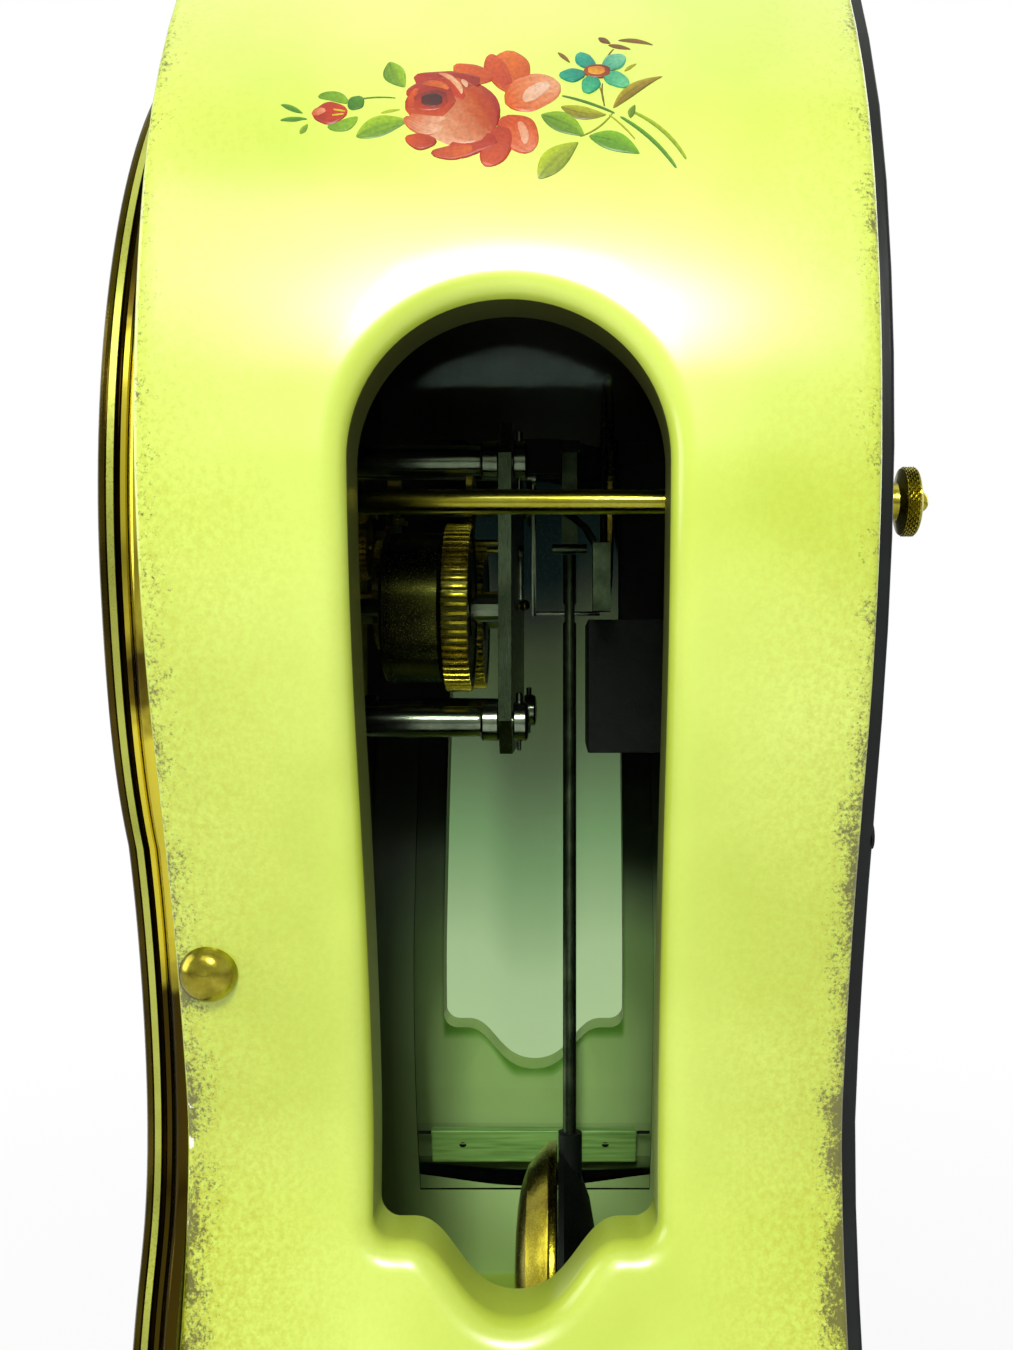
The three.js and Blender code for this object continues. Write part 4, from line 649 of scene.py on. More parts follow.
finishOf = {name: finish for finish, names in finishRows for name in names.split()}
for name, node in frame["nodes"].items():
    node.data.materials.clear()
    node.data.materials.append(finishOf.get(name, polishedBrass))
print("finishes on", len(frame["nodes"]), "CAD pieces")

# Side panels: one smooth bowed board each, with a rounded lip round the window and softened edges
panel = {
    "middle": pane["middle"], "half": pane["half"], "springing": 268.6 * mm, "shoulder": 118 * mm, "lobe": 104 * mm,
    "lobeHalf": 21.4 * mm, "corner": 4 * mm, "lip": 5 * mm, "edge": 1.4 * mm, "spineLow": 142 * mm, "steps": 14,
    "roundSteps": 7, "edgeSteps": 4, "widest": 126.15 * mm, "capCover": 60 * mm,
}


def bezier(a, b, c, d, count):
    points = []
    for t in (i / count for i in range(1, count + 1)):
        p, q, r, s = (1 - t) ** 3, 3 * t * (1 - t) ** 2, 3 * t * t * (1 - t), t ** 3
        points.append(tuple(p * a[k] + q * b[k] + r * c[k] + s * d[k] for k in (0, 1)))
    return points


def line(a, b, count):
    return [tuple(a[k] + (b[k] - a[k]) * i / count for k in (0, 1)) for i in range(1, count + 1)]


# Half the window's outline, from the arch's top round to the lobe's lowest point, then its mirror image
def windowLoop(row):
    half, low, corner, wide = row["half"], row["shoulder"], row["corner"], row["lobeHalf"]
    turned = (i * math.pi / 48 for i in range(25))
    loop = [(half * math.sin(turn), row["springing"] + half * math.cos(turn)) for turn in turned]
    loop += line(loop[-1], (half, low + corner), 50)
    loop += bezier(loop[-1], (half, low + corner / 2), (half - corner / 2, low), (half - corner, low), 6)
    loop += line(loop[-1], (wide, low), 3)
    loop += bezier(loop[-1], (wide * 0.6, low), (wide * 0.55, row["lobe"]), (0, row["lobe"]), 24)
    return loop + [(-y, z) for y, z in loop[-2:0:-1]]


# The bowed profile, read from the CAD wall's own vertices and joined by a smooth curve
def wallProfile(node, choice):
    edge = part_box(node)[0][1]
    levels = {}
    for vertex in frame["nodes"][node].data.vertices:
        if abs(vertex.co.y - edge) < 0.01 * mm:
            levels.setdefault(round(vertex.co.z, 6), []).append(abs(vertex.co.x))
    zs, xs = zip(*sorted((z, choice(found)) for z, found in levels.items() if len(found) > 1))

    def at(z):
        i = min(max(bisect.bisect_right(zs, z) - 1, 0), len(zs) - 2)
        t = (z - zs[i]) / (zs[i + 1] - zs[i])
        a, b, c, d = xs[max(i - 1, 0)], xs[i], xs[i + 1], xs[min(i + 2, len(xs) - 1)]
        return 0.5 * (2 * b + (c - a) * t + (2 * a - 5 * b + 4 * c - d) * t * t + (3 * b - a - 3 * c + d) * t ** 3)
    return at


# Where a ray from the window's spine through each point of its loop leaves the board; the corners are met exactly
def boardRims(loop, row, y0, y1, z0, z1):
    rims = []
    for y, z in loop:
        spine = min(max(z, row["spineLow"]), row["springing"])
        rise = z - spine
        toSide = (y1 if y > 0 else y0) / y if abs(y) > 1e-9 else math.inf
        toEnd = ((z1 if rise > 0 else z0) - spine) / rise if abs(rise) > 1e-9 else math.inf
        reach = min(toSide, toEnd)
        rims.append([y * reach, spine + rise * reach])
    for corner in ((y0, z0), (y0, z1), (y1, z0), (y1, z1)):
        nearest = min(range(len(rims)), key=lambda i: (rims[i][0] - corner[0]) ** 2 + (rims[i][1] - corner[1]) ** 2)
        rims[nearest] = list(corner)
    return rims


def smoothPanel(name, node, sign):
    row, (low, high) = panel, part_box(node)
    lip, edge, loop = row["lip"], row["edge"], windowLoop(row)
    y0, y1, z0, z1 = low[1] - row["middle"], high[1] - row["middle"], low[2], high[2]
    rims = boardRims(loop, row, y0, y1, z0, z1)
    tight = [(min(max(y, y0 + edge), y1 - edge), min(max(z, z0), z1)) for y, z in rims]
    # the left wall has no catch mortise, so its edge gives the plain profile for both
    outer, inner = wallProfile("left_side_panel", max), wallProfile("left_side_panel", min)
    held = lambda z: min(outer(z), row["widest"])
    rings = [[(inner(z), y, z) for y, z in loop]]
    for turn in (math.pi / 2 * i / row["roundSteps"] for i in range(row["roundSteps"] + 1)):
        out, sink = lip * (1 - math.cos(turn)), lip * (1 - math.sin(turn))
        moved = [(y + ny * out, z + nz * out) for (y, z), (ny, nz) in zip(loop, leftNormals(loop))]
        rings.append([(held(z) - sink, y, z) for y, z in moved])
    last = rings[-1]
    for t in (i / row["steps"] for i in range(1, row["steps"] + 1)):
        moved = [(y + (by - y) * t, z + (bz - z) * t) for (_, y, z), (by, bz) in zip(last, tight)]
        rings.append([(held(z), y, z) for y, z in moved])
    for turn in (math.pi / 2 * i / row["edgeSteps"] for i in range(1, row["edgeSteps"] + 1)):
        rings.append([(held(z) - edge * (1 - math.cos(turn)), near + (y - near) * math.sin(turn), z)
                      for (y, z), (near, _) in zip(rims, tight)])
    for t in (0.0, 0.5):
        rings.append([(inner(bz + (z - bz) * t), by + (y - by) * t, bz + (z - bz) * t)
                      for (by, bz), (y, z) in zip(rims, loop)])
    points = [(sign * x, y + row["middle"], z) for ring in rings for x, y, z in ring]
    piece = closedPiece(name, points, ringFaces(len(rings), len(loop), True), creamLacquer, 32)
    # the faces turned to the inside of the case take the lacquer with painted shade, the window's jamb its olive
    # painted shade too except its sill
    piece.data.materials.append(insideLacquerPaintedShade)
    piece.data.materials.append(jambLacquerPaintedShade)
    for face in piece.data.polygons:
        aside = abs(face.center.y - row["middle"])
        if face.normal.x * sign < -0.6:
            face.material_index = 1
        elif (abs(face.normal.x) < 0.3 and aside < row["half"] + 0.5 * mm
              and row["shoulder"] + row["corner"] < face.center.z < z1 - row["capCover"]):
            face.material_index = 2
    standsFor(piece, "lacquer", node)
    print(name, len(piece.data.polygons), "faces")
    return piece


rightPanel = smoothPanel("rightLacquerPanel", "right_side_panel", 1)
leftPanel = smoothPanel("leftLacquerPanel", "left_side_panel", -1)

# The painted spray: overlapping brush strokes laid on the lacquer, each a thin skin whose edge sinks into it
spray = {"at": (-0.0078, 0.3335), "size": 0.92, "skin": 0.05 * mm, "step": 0.006 * mm, "along": 18, "across": 12}
# kind, across, up, length, width, angle, bend, dark, light (sizes in mm)
strokes = [
    ("stem", -22.5, 1.4, 9, 0.5, 4, 0.5, "#5c7a20", "#7c9c34"),
    ("stem", 19.5, 0.2, 12, 0.8, -22, 0.4, "#3c6a18", "#6a9a2c"),
    ("stem", 21.0, -4.4, 9, 0.5, 40, -0.8, "#8a8a28", "#a8b03c"),
    ("stem", 22.0, 2.6, 6, 0.4, -78, 0.3, "#8a7a28", "#a89a3c"),
    ("stem", 22.6, 2.6, 6, 0.4, -86, -0.3, "#6a5a20", "#8a7a30"),
    ("stem", 24.0, 12.6, 4, 0.4, 64, 0.3, "#7a5a18", "#8a6a28"),
    ("stem", 26.0, -5.0, 8, 0.5, -48, 0.3, "#b0b848", "#c8d060"),
    ("stem", 31.0, -8.4, 16.5, 1.0, -47, 1.0, "#3a7a30", "#88b840"),
    ("stem", 33.0, -6.8, 16, 1.0, -46, 1.4, "#7a9a20", "#c8dc50"),
    ("leaf", -38.6, -0.8, 5.2, 1.5, -25, 0.2, "#3c7a28", "#7cb04c"),
    ("leaf", -38.0, -3.3, 5.5, 1.4, 4, 0.2, "#3c7a28", "#7cb04c"),
    ("leaf", -35.9, -5.4, 2.8, 1.4, 60, 0, "#6a9a38", "#a8c860"),
    ("leaf", -20.6, -5.4, 11, 5.4, 20, 0.8, "#5c9020", "#b4d848"),
    ("leaf", -18.4, 7.6, 7.6, 5.0, -62, -0.5, "#54841c", "#a8d040"),
    ("leaf", -19.2, -1.4, 4.0, 0.9, 12, 0.1, "#b8c850", "#c8d868"),
    ("leaf", 18.6, -1.2, 9.4, 3.6, -12, -0.6, "#7a6a10", "#c0c828"),
    ("leaf", 14.5, -4.6, 10, 5.2, -30, 0.6, "#487818", "#a0cc38"),
    ("leaf", 24.5, -9.0, 10.8, 5.0, -22, 0.8, "#508828", "#98cc50"),
    ("leaf", 13.7, -12.4, 11.4, 5.6, 46, 0.7, "#7c8c14", "#c8dc30"),
    ("leaf", 29.4, 3.2, 13, 3.0, 38, 1.2, "#7a5c10", "#c0ae2c"),
    ("leaf", 22.9, 16.6, 3.0, 1.7, -32, 0, "#6a3c10", "#8a5c1c"),
    ("leaf", 29.2, 16.0, 7.4, 1.4, -10, 0.5, "#7a5010", "#9a6c20"),
    ("leaf", 25.9, 14.8, 4.8, 1.4, -14, 0.1, "#7a4c10", "#94641c"),
    ("leaf", 14.7, 12.0, 3.8, 1.1, -48, 0.1, "#7a4c10", "#a07020"),
    ("leaf", 28.0, 9.4, 3.2, 0.9, 38, 0.1, "#a8a028", "#c0bc40"),
    ("leaf", 28.2, -1.4, 3.4, 1.6, 72, 0.2, "#5c8420", "#8cac38"),
    ("petal", -30.6, 1.4, 6.4, 2.6, -14, 0.8, "#5c8c28", "#9cc850"),
    ("petal", -28.4, -3.9, 6.4, 2.8, 22, -0.8, "#6a9838", "#a4cc58"),
    ("petal", -26.1, 0.6, 3.8, 3.4, 50, 0, "#2c6424", "#6a9c48"),
    ("petal", -31.0, -1.8, 7.0, 5.4, 8, 0, "#9c1c14", "#e0604c"),
    ("petal", -33.2, -1.6, 3.0, 2.0, 20, 0.2, "#d8604c", "#f4b898"),
    ("stem", -29.2, -1.2, 2.6, 0.5, -10, 0, "#d8c020", "#f0e048"),
    ("stem", -29.4, -2.2, 2.6, 0.5, 8, 0, "#d8c020", "#f0e048"),
    ("petal", 4.4, 8.4, 11.5, 9.0, 102, 0.6, "#c03c20", "#f49468"),
    ("petal", 2.0, 8.8, 9.5, 5.0, 118, 0.6, "#b82c1c", "#e86c40"),
    ("petal", -3.2, 8.2, 9.0, 5.2, 158, 0.7, "#c04020", "#ec7848"),
    ("petal", 5.6, -6.6, 10, 8.0, -52, 0.4, "#c83c28", "#f4a488"),
    ("petal", 8.6, 2.8, 12, 9.4, 24, 0.6, "#dc5c40", "#fcc4a0"),
    ("petal", 1.4, -9.2, 10, 6.0, -112, 0.5, "#b02818", "#e06848"),
    ("petal", -3.0, -9.6, 11, 5.4, -160, -0.9, "#a82014", "#dc5c40"),
    ("petal", -6.8, -10.2, 8.6, 3.4, 8, -0.5, "#b42c1c", "#ec8864"),
    ("petal", -13.0, -7.9, 6.4, 3.8, 172, 0.4, "#a42014", "#e46c4c"),
    ("petal", -8.2, 6.4, 14, 6.6, 176, 1.2, "#8c1410", "#c8402c"),
    ("petal", -12.6, 4.6, 8.6, 5.4, -150, 0.8, "#98180f", "#cc4830"),
    ("globe", -6.4, -1.0, 18.4, 16.6, -35, 0, "#b42818", "#fcc8a4"),
    ("petal", -12.6, -4.2, 8.4, 3.8, -18, -0.8, "#d4583c", "#fcd4b4"),
    ("petal", -8.6, 3.6, 9.4, 3.6, -30, 1.2, "#a82018", "#d85038"),
    ("globe", -11.4, 0.8, 10.6, 9.6, 20, 0, "#a01c14", "#dc6444"),
    ("petal", -11.8, -2.6, 7.6, 2.2, -6, -0.8, "#d45c40", "#fcd0b0"),
    ("petal", -14.4, 1.4, 5.6, 2.0, 84, 0.7, "#b83424", "#ec8060"),
    ("petal", -10.6, 4.4, 6.0, 1.9, -14, 0.7, "#c44830", "#f09c78"),
    ("globe", -11.4, 1.2, 7.2, 6.0, 10, 0, "#7c1410", "#cc4c34"),
    ("globe", -11.2, 1.2, 4.6, 3.8, 0, 0, "#2c0808", "#5c100c"),
    ("petal", -7.0, 4.6, 5.6, 1.4, -52, 0.8, "#e88860", "#fcd8b4"),
    ("petal", -8.2, 6.4, 5.0, 1.2, -34, 0.5, "#e88860", "#fcd8b4"),
    ("petal", -5.0, 5.2, 2.4, 1.2, -60, 0.2, "#f0a880", "#fcdcc0"),
    ("petal", 9.4, 3.0, 7.0, 3.6, 40, 0.4, "#fcc4a4", "#fcdcc4"),
    ("petal", 6.6, -6.4, 5.6, 2.0, -76, 0.4, "#f4a888", "#fcccb0"),
    ("petal", 19.1, 11.2, 5.2, 3.6, 130, 0.2, "#1c7c70", "#58b898"),
    ("petal", 24.8, 10.6, 5.8, 4.2, 40, 0.2, "#2c8c78", "#98dcb0"),
    ("petal", 16.4, 7.6, 5.4, 3.6, 184, 0.2, "#10786c", "#48b490"),
    ("petal", 19.9, 5.2, 5.0, 3.8, -112, 0.2, "#1c806c", "#70cc98"),
    ("petal", 25.1, 6.2, 5.8, 4.0, -32, 0.2, "#2c9070", "#90e0a8"),
    ("globe", 21.4, 8.4, 5.6, 4.0, 0, 0, "#7c2408", "#b84c14"),
    ("globe", 21.2, 8.5, 3.8, 2.6, 0, 0, "#d8701c", "#fcbc38"),
]


def surfaceFinder(node, sign):
    tree = BVHTree.FromObject(node, bpy.context.evaluated_depsgraph_get())
    return lambda y, z: tree.ray_cast(Vector((sign * 0.2, y, z)), Vector((-sign, 0, 0)))[0].x


# How far a point of a stroke has come from its dark colour to its light one: s runs along it, t from side to side
def strokeTone(kind, s, t, hair):
    if kind == "globe":
        return 0.5 + 0.5 * (-0.8 * t - 0.5 * (2 * s - 1)) + hair * 0.6
    if kind == "leaf":
        return 0.55 + 0.45 * t + hair - 0.55 * math.exp(-(t / 0.14) ** 2) * (1 - s)
    if kind == "petal":
        return 0.25 + 0.75 * s * (1 - 0.45 * t * t) + hair
    return 0.5 + 0.5 * t


def paintSpray(name, node, sign, body):
    rng = random.Random(7)
    outward = surfaceFinder(node, sign)
    points, faces, colours = [], [], []
    steps, row = spray["along"], spray["across"] + 1
    for index, (kind, across, up, length, width, angle, bend, dark, light) in enumerate(strokes):
        first, turn = len(points), math.radians(angle)
        darkTone, lightTone = Vector(hexLinear(dark)[:3]), Vector(hexLinear(light)[:3])
        blunt = {"stem": 0.25, "leaf": 0.85, "petal": 0.55, "globe": 0.5}[kind]
        for i in range(steps + 1):
            s = i / steps
            half = 0.5 * width * max(math.sin(math.pi * s), 0) ** blunt * (1.12 - 0.4 * s if kind == "leaf" else 1)
            ragged = 1 + 0.05 * math.sin(9 * s + index) * (kind in ("petal", "globe"))
            for j in range(row):
                t = 2 * j / (row - 1) - 1
                a, b = (s - 0.5) * length, bend * (1 - (2 * s - 1) ** 2) + t * half * ragged
                y = spray["at"][0] + (across + a * math.cos(turn) - b * math.sin(turn)) * spray["size"] * mm
                z = spray["at"][1] + (up + a * math.sin(turn) + b * math.cos(turn)) * spray["size"] * mm
                rim = i in (0, steps) or j in (0, row - 1)
                lift = -spray["skin"] if rim else spray["skin"] * 0.4 + spray["step"] * index
                points.append((outward(y, z) + sign * lift, y, z))
                hair = 0.10 * math.sin(21 * t + 3 * math.sin(4 * s + index)) + rng.uniform(-0.04, 0.04)
                tone = min(max(strokeTone(kind, s, t, hair), 0), 1)
                colours.append(tuple(darkTone.lerp(lightTone, tone)) + (1,))
        for corner in (first + i * row + j for i in range(steps) for j in range(row - 1)):
            faces.append((corner, corner + row, corner + row + 1, corner + 1)[::-sign])
    mesh = bpy.data.meshes.new(name)
    mesh.from_pydata(points, [], faces)
    attribute = mesh.color_attributes.new("paint", "FLOAT_COLOR", "POINT")
    for datum, colour in zip(attribute.data, colours):
        datum.color = colour
    mesh.polygons.foreach_set("use_smooth", [True] * len(mesh.polygons))
    mesh.materials.append(brushedOil)
    addedTo(shown(name, mesh), body)


paintSpray("rightPaintedSpray", rightPanel, 1, "case")
paintSpray("leftPaintedSpray", leftPanel, -1, "case")
print("sprays painted:", len(strokes), "strokes a side")

# Brass front: one outline for the door and the trim behind it, the right half from the top down
front = {
    "roundZ": 265 * mm, "radius": 118 * mm, "turn": 0.61,
    "flank": [(88.5, 170.0), (84.6, 141.9), (85.95, 123.9), (93.0, 104.2), (103.0, 76.0), (112.6, 52.0),
              (111.2, 45.4), (106.2, 40.0), (97.8, 38.0), (80.0, 38.0)],
    "back": -72.35 * mm,
}


def frontOutline(row):
    angles = (math.pi / 2 + (-row["turn"] - math.pi / 2) * i / 60 for i in range(61))
    arc = domeRows(row["radius"], row["roundZ"], row["radius"], angles)
    right = arc + throughPoints([arc[-6], arc[-1]] + [(x * mm, z * mm) for x, z in row["flank"]], 8)[9:]
    return right + [(-x, z) for x, z in right[:0:-1]]


# The outer edge swells a little past the outline between the waist and the round
swell = {"by": 3.6 * mm, "top": 245 * mm, "upper": 190 * mm, "lower": 112 * mm, "foot": 60 * mm, "flankFrom": 60 * mm}


def swelled(outline):
    def ease(t):
        t = min(max(t, 0), 1)
        return t * t * (3 - 2 * t)
    out = []
    for x, z in outline:
        above = ease((swell["top"] - z) / (swell["top"] - swell["upper"]))
        below = ease((z - swell["foot"]) / (swell["lower"] - swell["foot"]))
        out.append((x + math.copysign(swell["by"] * above * below, x) * (abs(x) > swell["flankFrom"]), z))
    return out


# A moulding swept round an outline from rows of (millimetres inwards, depth); rows further in than `fixed` keep to the
# plain outline, the others follow its swell, and `spans` gives the finish of each span
def sweptMoulding(name, outline, section, materials, spans, fixed):
    points = []
    for inwards, depth in section:
        base = swelled(outline) if inwards < fixed else outline
        # the outline runs clockwise from its top, so that inwards is to the right
        points += [(x - nx * inwards * mm, depth * mm, z - nz * inwards * mm)
                   for (x, z), (nx, nz) in zip(base, leftNormals(base))]
    count, rows = len(outline), len(section)
    mesh = bpy.data.meshes.new(name)
    mesh.from_pydata(points, [], ringFaces(rows, count, True))
    for material in materials:
        mesh.materials.append(material)
    mesh.polygons.foreach_set("material_index", [spans[k] for k in range(rows) for _ in range(count)])
    with opened(mesh) as work:
        bmesh.ops.recalc_face_normals(work, faces=work.faces)
    crisp(mesh, 30)
    return shown(name, mesh)


# Door moulding, from its back round the side that shows: flange, quirk, pale fillet, swelled nose, flat, rebate
doorSection = [
    (0.3, -72.35), (0.0, -72.6), (0.0, -73.5), (0.9, -73.9), (1.2, -74.25), (0.9, -74.5), (0.1, -74.65),
    (0.0, -74.75), (0.0, -76.0), (0.1, -76.1), (0.7, -76.3), (0.5, -76.6), (0.3, -77.0), (0.5, -77.5),
    (1.0, -77.85), (1.9, -78.03), (3.2, -78.05), (4.6, -77.75), (5.8, -77.2), (6.8, -76.5), (7.4, -75.9),
    (8.0, -75.95), (8.6, -76.1), (9.2, -75.95), (9.5, -75.66), (13.5, -75.66), (14.0, -75.4), (14.0, -74.65),
    (10.0, -74.65), (10.0, -72.35),
]
# finishes of its spans: 0 rim brass with painted highlights, 1 dark copy with painted shade, 2 satin
doorSpans = [0] * 2 + [1] * 5 + [2] + [1] * 12 + [2] * 10
outline = frontOutline(front)
moulding = sweptMoulding("doorMoulding", outline, doorSection, [bandLitRimBrass, shadedBrass, satinBrass], doorSpans, 7)

hinge = {"x": -120.9 * mm, "y": -74.25 * mm, "radius": 2.2 * mm, "bore": 1.25 * mm, "pin": 1.0 * mm, "length": 9 * mm,
         "heights": {"upper": 265 * mm, "lower": 36 * mm}, "reach": 11 * mm, "ball": 1.35 * mm, "wallY": -68.95 * mm}


# Knuckles on the door, and under each a pin with its leaf and ball on the case
def hingePieces(row):
    doorParts = []
    x, y, radius, bore, pin, ball = (row[key] for key in ("x", "y", "radius", "bore", "pin", "ball"))
    for side, z in row["heights"].items():
        low, high, foot, top = z + 0.3 * mm, z + row["length"], z - row["length"], z + row["length"] + 0.1 * mm
        tube = eased([(bore, low), (radius, low), (radius, high), (bore, high)], 0.3 * mm, True, 2)
        doorParts.append(turnedPiece(f"{side}DoorKnuckle", tube, bandedBrass, "Z", (x, y, 0), 32))
        ends = (x + pin * 1.8, -74.7 * mm, low), (x + row["reach"], front["back"], high)
        doorParts.append(barPiece(f"{side}DoorLeaf", *ends, bandedBrass))
        post = eased([(0.0, foot), (radius, foot), (radius, z), (pin, z), (pin, top)], 0.3 * mm, False, 2)
        profile = [(0, foot)] + post[1:]
        profile += domeRows(ball, top + ball * 0.45, ball * 0.55, (-0.7, -0.2, 0.3, 0.8, 1.2)) + [(0, top + ball)]
        knuckle = turnedPiece(f"{side}Knuckle", profile, bandedBrass, "Z", (x, y, 0), 32)
        leaf = barPiece(f"{side}Leaf", (x - 0.6 * mm, y, foot), (x + 0.6 * mm, row["wallY"], z), bandedBrass)
        standsFor(together(f"{side}HingePin", [knuckle, leaf]), "brass", f"{side}_hinge")
    return doorParts


standsFor(together("mouldedDoor", [moulding] + hingePieces(hinge)), "brass", "door_frame")

trimSection = [(-1.2, -69.0), (-1.2, -70.7), (-1.05, -71.1), (-0.3, -71.85), (0.1, -72.05), (4.0, -72.05),
               (4.4, -71.8), (4.8, -71.8), (5.2, -72.05), (12.6, -72.05), (13.0, -71.7), (13.0, -69.0)]
trimBand = sweptMoulding("caseTrim", outline, trimSection, [bandLitRimBrass], [0] * len(trimSection), 0.2)
low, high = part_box("door_catch")
mortise = (low[0] - 2 * mm, -0.08, low[2] - 1.4 * mm), (high[0] + 2 * mm, -0.06, high[2] + 1.4 * mm)
cutOut(trimBand, barPiece("mortise", *mortise, bandedBrass, 0.1 * mm))
standsFor(trimBand, "brass", "case_front_trim")
print("brass front done")

# Release button: a spun dome with a faint point, on a skirt that slides in the wall
low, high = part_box("release_button")
button = {"radius": 5.65 * mm, "dome": 4.2 * mm}
r, tip, shoulder = button["radius"], high[0], high[0] - button["dome"]
profile = [(0, low[0]), (1.6 * mm, low[0])] + rowsFrom(shoulder, [(1.6, -2.5), (5.4805, -2.5), (5.65, -2.2), (5.65, 0)])
turned = (math.pi / 2 * i / 16 for i in range(1, 16))
profile += [(r * math.cos(a) ** 0.8, shoulder + button["dome"] * 0.96 * math.sin(a)) for a in turned]
profile += [(r * 0.06, tip - button["dome"] * 0.015), (0, tip)]
centre = (0, (low[1] + high[1]) / 2, (low[2] + high[2]) / 2)
standsFor(turnedPiece("domedButton", profile, dullBrass, "X", centre, 64, 35), "brass", "release_button")

# Tie rod and its nut: drawn rod with a domed end, turned nut with diamond knurling
low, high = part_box("tie_rod")
rodX, rodZ, rodR = (low[0] + high[0]) / 2, (low[2] + high[2]) / 2, (high[0] - low[0]) / 2
end = high[1]
profile = [(0, low[1]), (rodR * 0.96, low[1]), (rodR, low[1] + 0.2 * mm), (rodR, end - 2.6 * mm),
           (rodR * 0.8, end - 2.2 * mm), (rodR * 0.84, end - 1.6 * mm)]
profile += domeRows(rodR * 0.84, end - 1.6 * mm, 1.6 * mm, (0.35, 0.7, 1.05, 1.35)) + [(0, end)]
standsFor(turnedPiece("drawnTieRod", profile, polishedBrass, "Y", (rodX, 0, rodZ), 48), "brass", "tie_rod")

knurling = {
    "thumb": {"columns": 34, "rows": 5, "radius": 6.55 * mm, "length": 2.4 * mm, "stagger": 0.5, "depth": 0.42 * mm},
    "rating": {"columns": 26, "rows": 7, "radius": 4.7 * mm, "length": 4.2 * mm, "stagger": 0.5, "depth": 0.3 * mm},
}


# Diamond knurling on a turned grip: pyramids that point outwards, every other row stepped by half a pitch
def knurled(name, row, axis, centre):
    across, up, depth = math.pi * row["radius"] / row["columns"], row["length"] / row["rows"], row["depth"]
    points = [(0, -across, 0), (0, 0, -up), (0, across, 0), (0, 0, up), (depth, 0, 0), (-depth, 0, 0)]
    faces = [(0, 1, 4), (1, 2, 4), (2, 3, 4), (3, 0, 4), (1, 0, 5), (2, 1, 5), (3, 2, 5), (0, 3, 5)]
    return repeated(name, closedPiece("knurlUnit", points, faces, dullBrass, 20), row, dullBrass, axis, centre)


low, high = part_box("thumb_nut")
bore = rodR + 0.3 * mm
profile = [(bore, low[1])] + rowsFrom(low[1], [(4.3, 0), (4.3, 1.0), (3.7, 1.8)])
profile += rowsFrom(high[1], [(3.7, -4.1), (6.55, -3.4), (6.75, -3.1), (6.55, -2.9), (6.55, -0.7), (6.65, -0.5),
                              (5.95, -0.1), (4.6, -0.1), (4.2, -0.5)])
profile = eased(profile + [(bore, high[1] - 0.5 * mm)], 0.15 * mm, True, 2)
nutBody = turnedPiece("nutBody", profile, dullBrass, "Y", (rodX, 0, rodZ))
knurl = knurled("nutKnurl", knurling["thumb"], "Y", (rodX, high[1] - 3.05 * mm, rodZ))
standsFor(together("knurledThumbNut", [nutBody, knurl]), "brass", "thumb_nut")
print("button, tie rod and nut done")


# A lofted board in place of a CAD node: rings of (share of the rise, shares of the half sizes) with rounded corners
def loftedBoard(name, node, rows, corner):
    low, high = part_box(node)
    middle, halfY = (low[1] + high[1]) / 2, (high[1] - low[1]) / 2
    points, perCorner = [], 9
    for up, outX, outY in rows:
        hx, hy, z = high[0] * outX, halfY * outY, low[2] + (high[2] - low[2]) * up
        r = min(corner, hx * 0.9, hy * 0.9)
        corners = ((hx - r, hy - r), (-hx + r, hy - r), (-hx + r, -hy + r), (hx - r, -hy + r))
        for quarter, (cx, cy) in enumerate(corners):
            for turn in (math.pi / 2 * (quarter + i / (perCorner - 1)) for i in range(perCorner)):
                points.append((cx + r * math.cos(turn), middle + cy + r * math.sin(turn), z))
    faces = ringFaces(len(rows), 4 * perCorner)
    standsFor(closedPiece(name, points, faces, plainLacquer, 40), "lacquer", node)


capRows = [(0, 0.955), (0.03, 0.965), (0.05, 0.985), (0.12, 1.0), (0.17, 1.0), (0.215, 0.99), (0.225, 0.975),
           (0.25, 0.972), (0.29, 0.93), (0.34, 0.86), (0.42, 0.765), (0.52, 0.67), (0.63, 0.59), (0.74, 0.53),
           (0.82, 0.505), (0.84, 0.505), (0.85, 0.52), (0.9, 0.535), (0.96, 0.535), (1.0, 0.52)]
loftedBoard("mouldedCap", "head_cap", [(up, out, out) for up, out in capRows], 7 * mm)
baseRows = [(0, 0.985), (0.08, 0.988), (0.2, 0.996), (0.32, 1.0), (0.6, 1.0), (0.68, 0.997), (0.76, 0.992),
            (0.8, 0.990), (0.84, 0.990), (0.92, 0.988), (1.0, 0.987)]
loftedBoard("mouldedPlinth", "base_board", [(up, out, 1 - (1 - out) * 2.6) for up, out in baseRows], 6 * mm)


# An upright turned brass piece in place of a CAD node, from shares of its size
def uprightTurned(name, node, shares):
    low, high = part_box(node)
    piece = turnedPiece(name, sharesOf((high[1] - low[1]) / 2, low[2], high[2], shares), polishedBrass, "Z",
                        ((low[0] + high[0]) / 2, (low[1] + high[1]) / 2, 0), 48, 40)
    standsFor(piece, "brass", node)


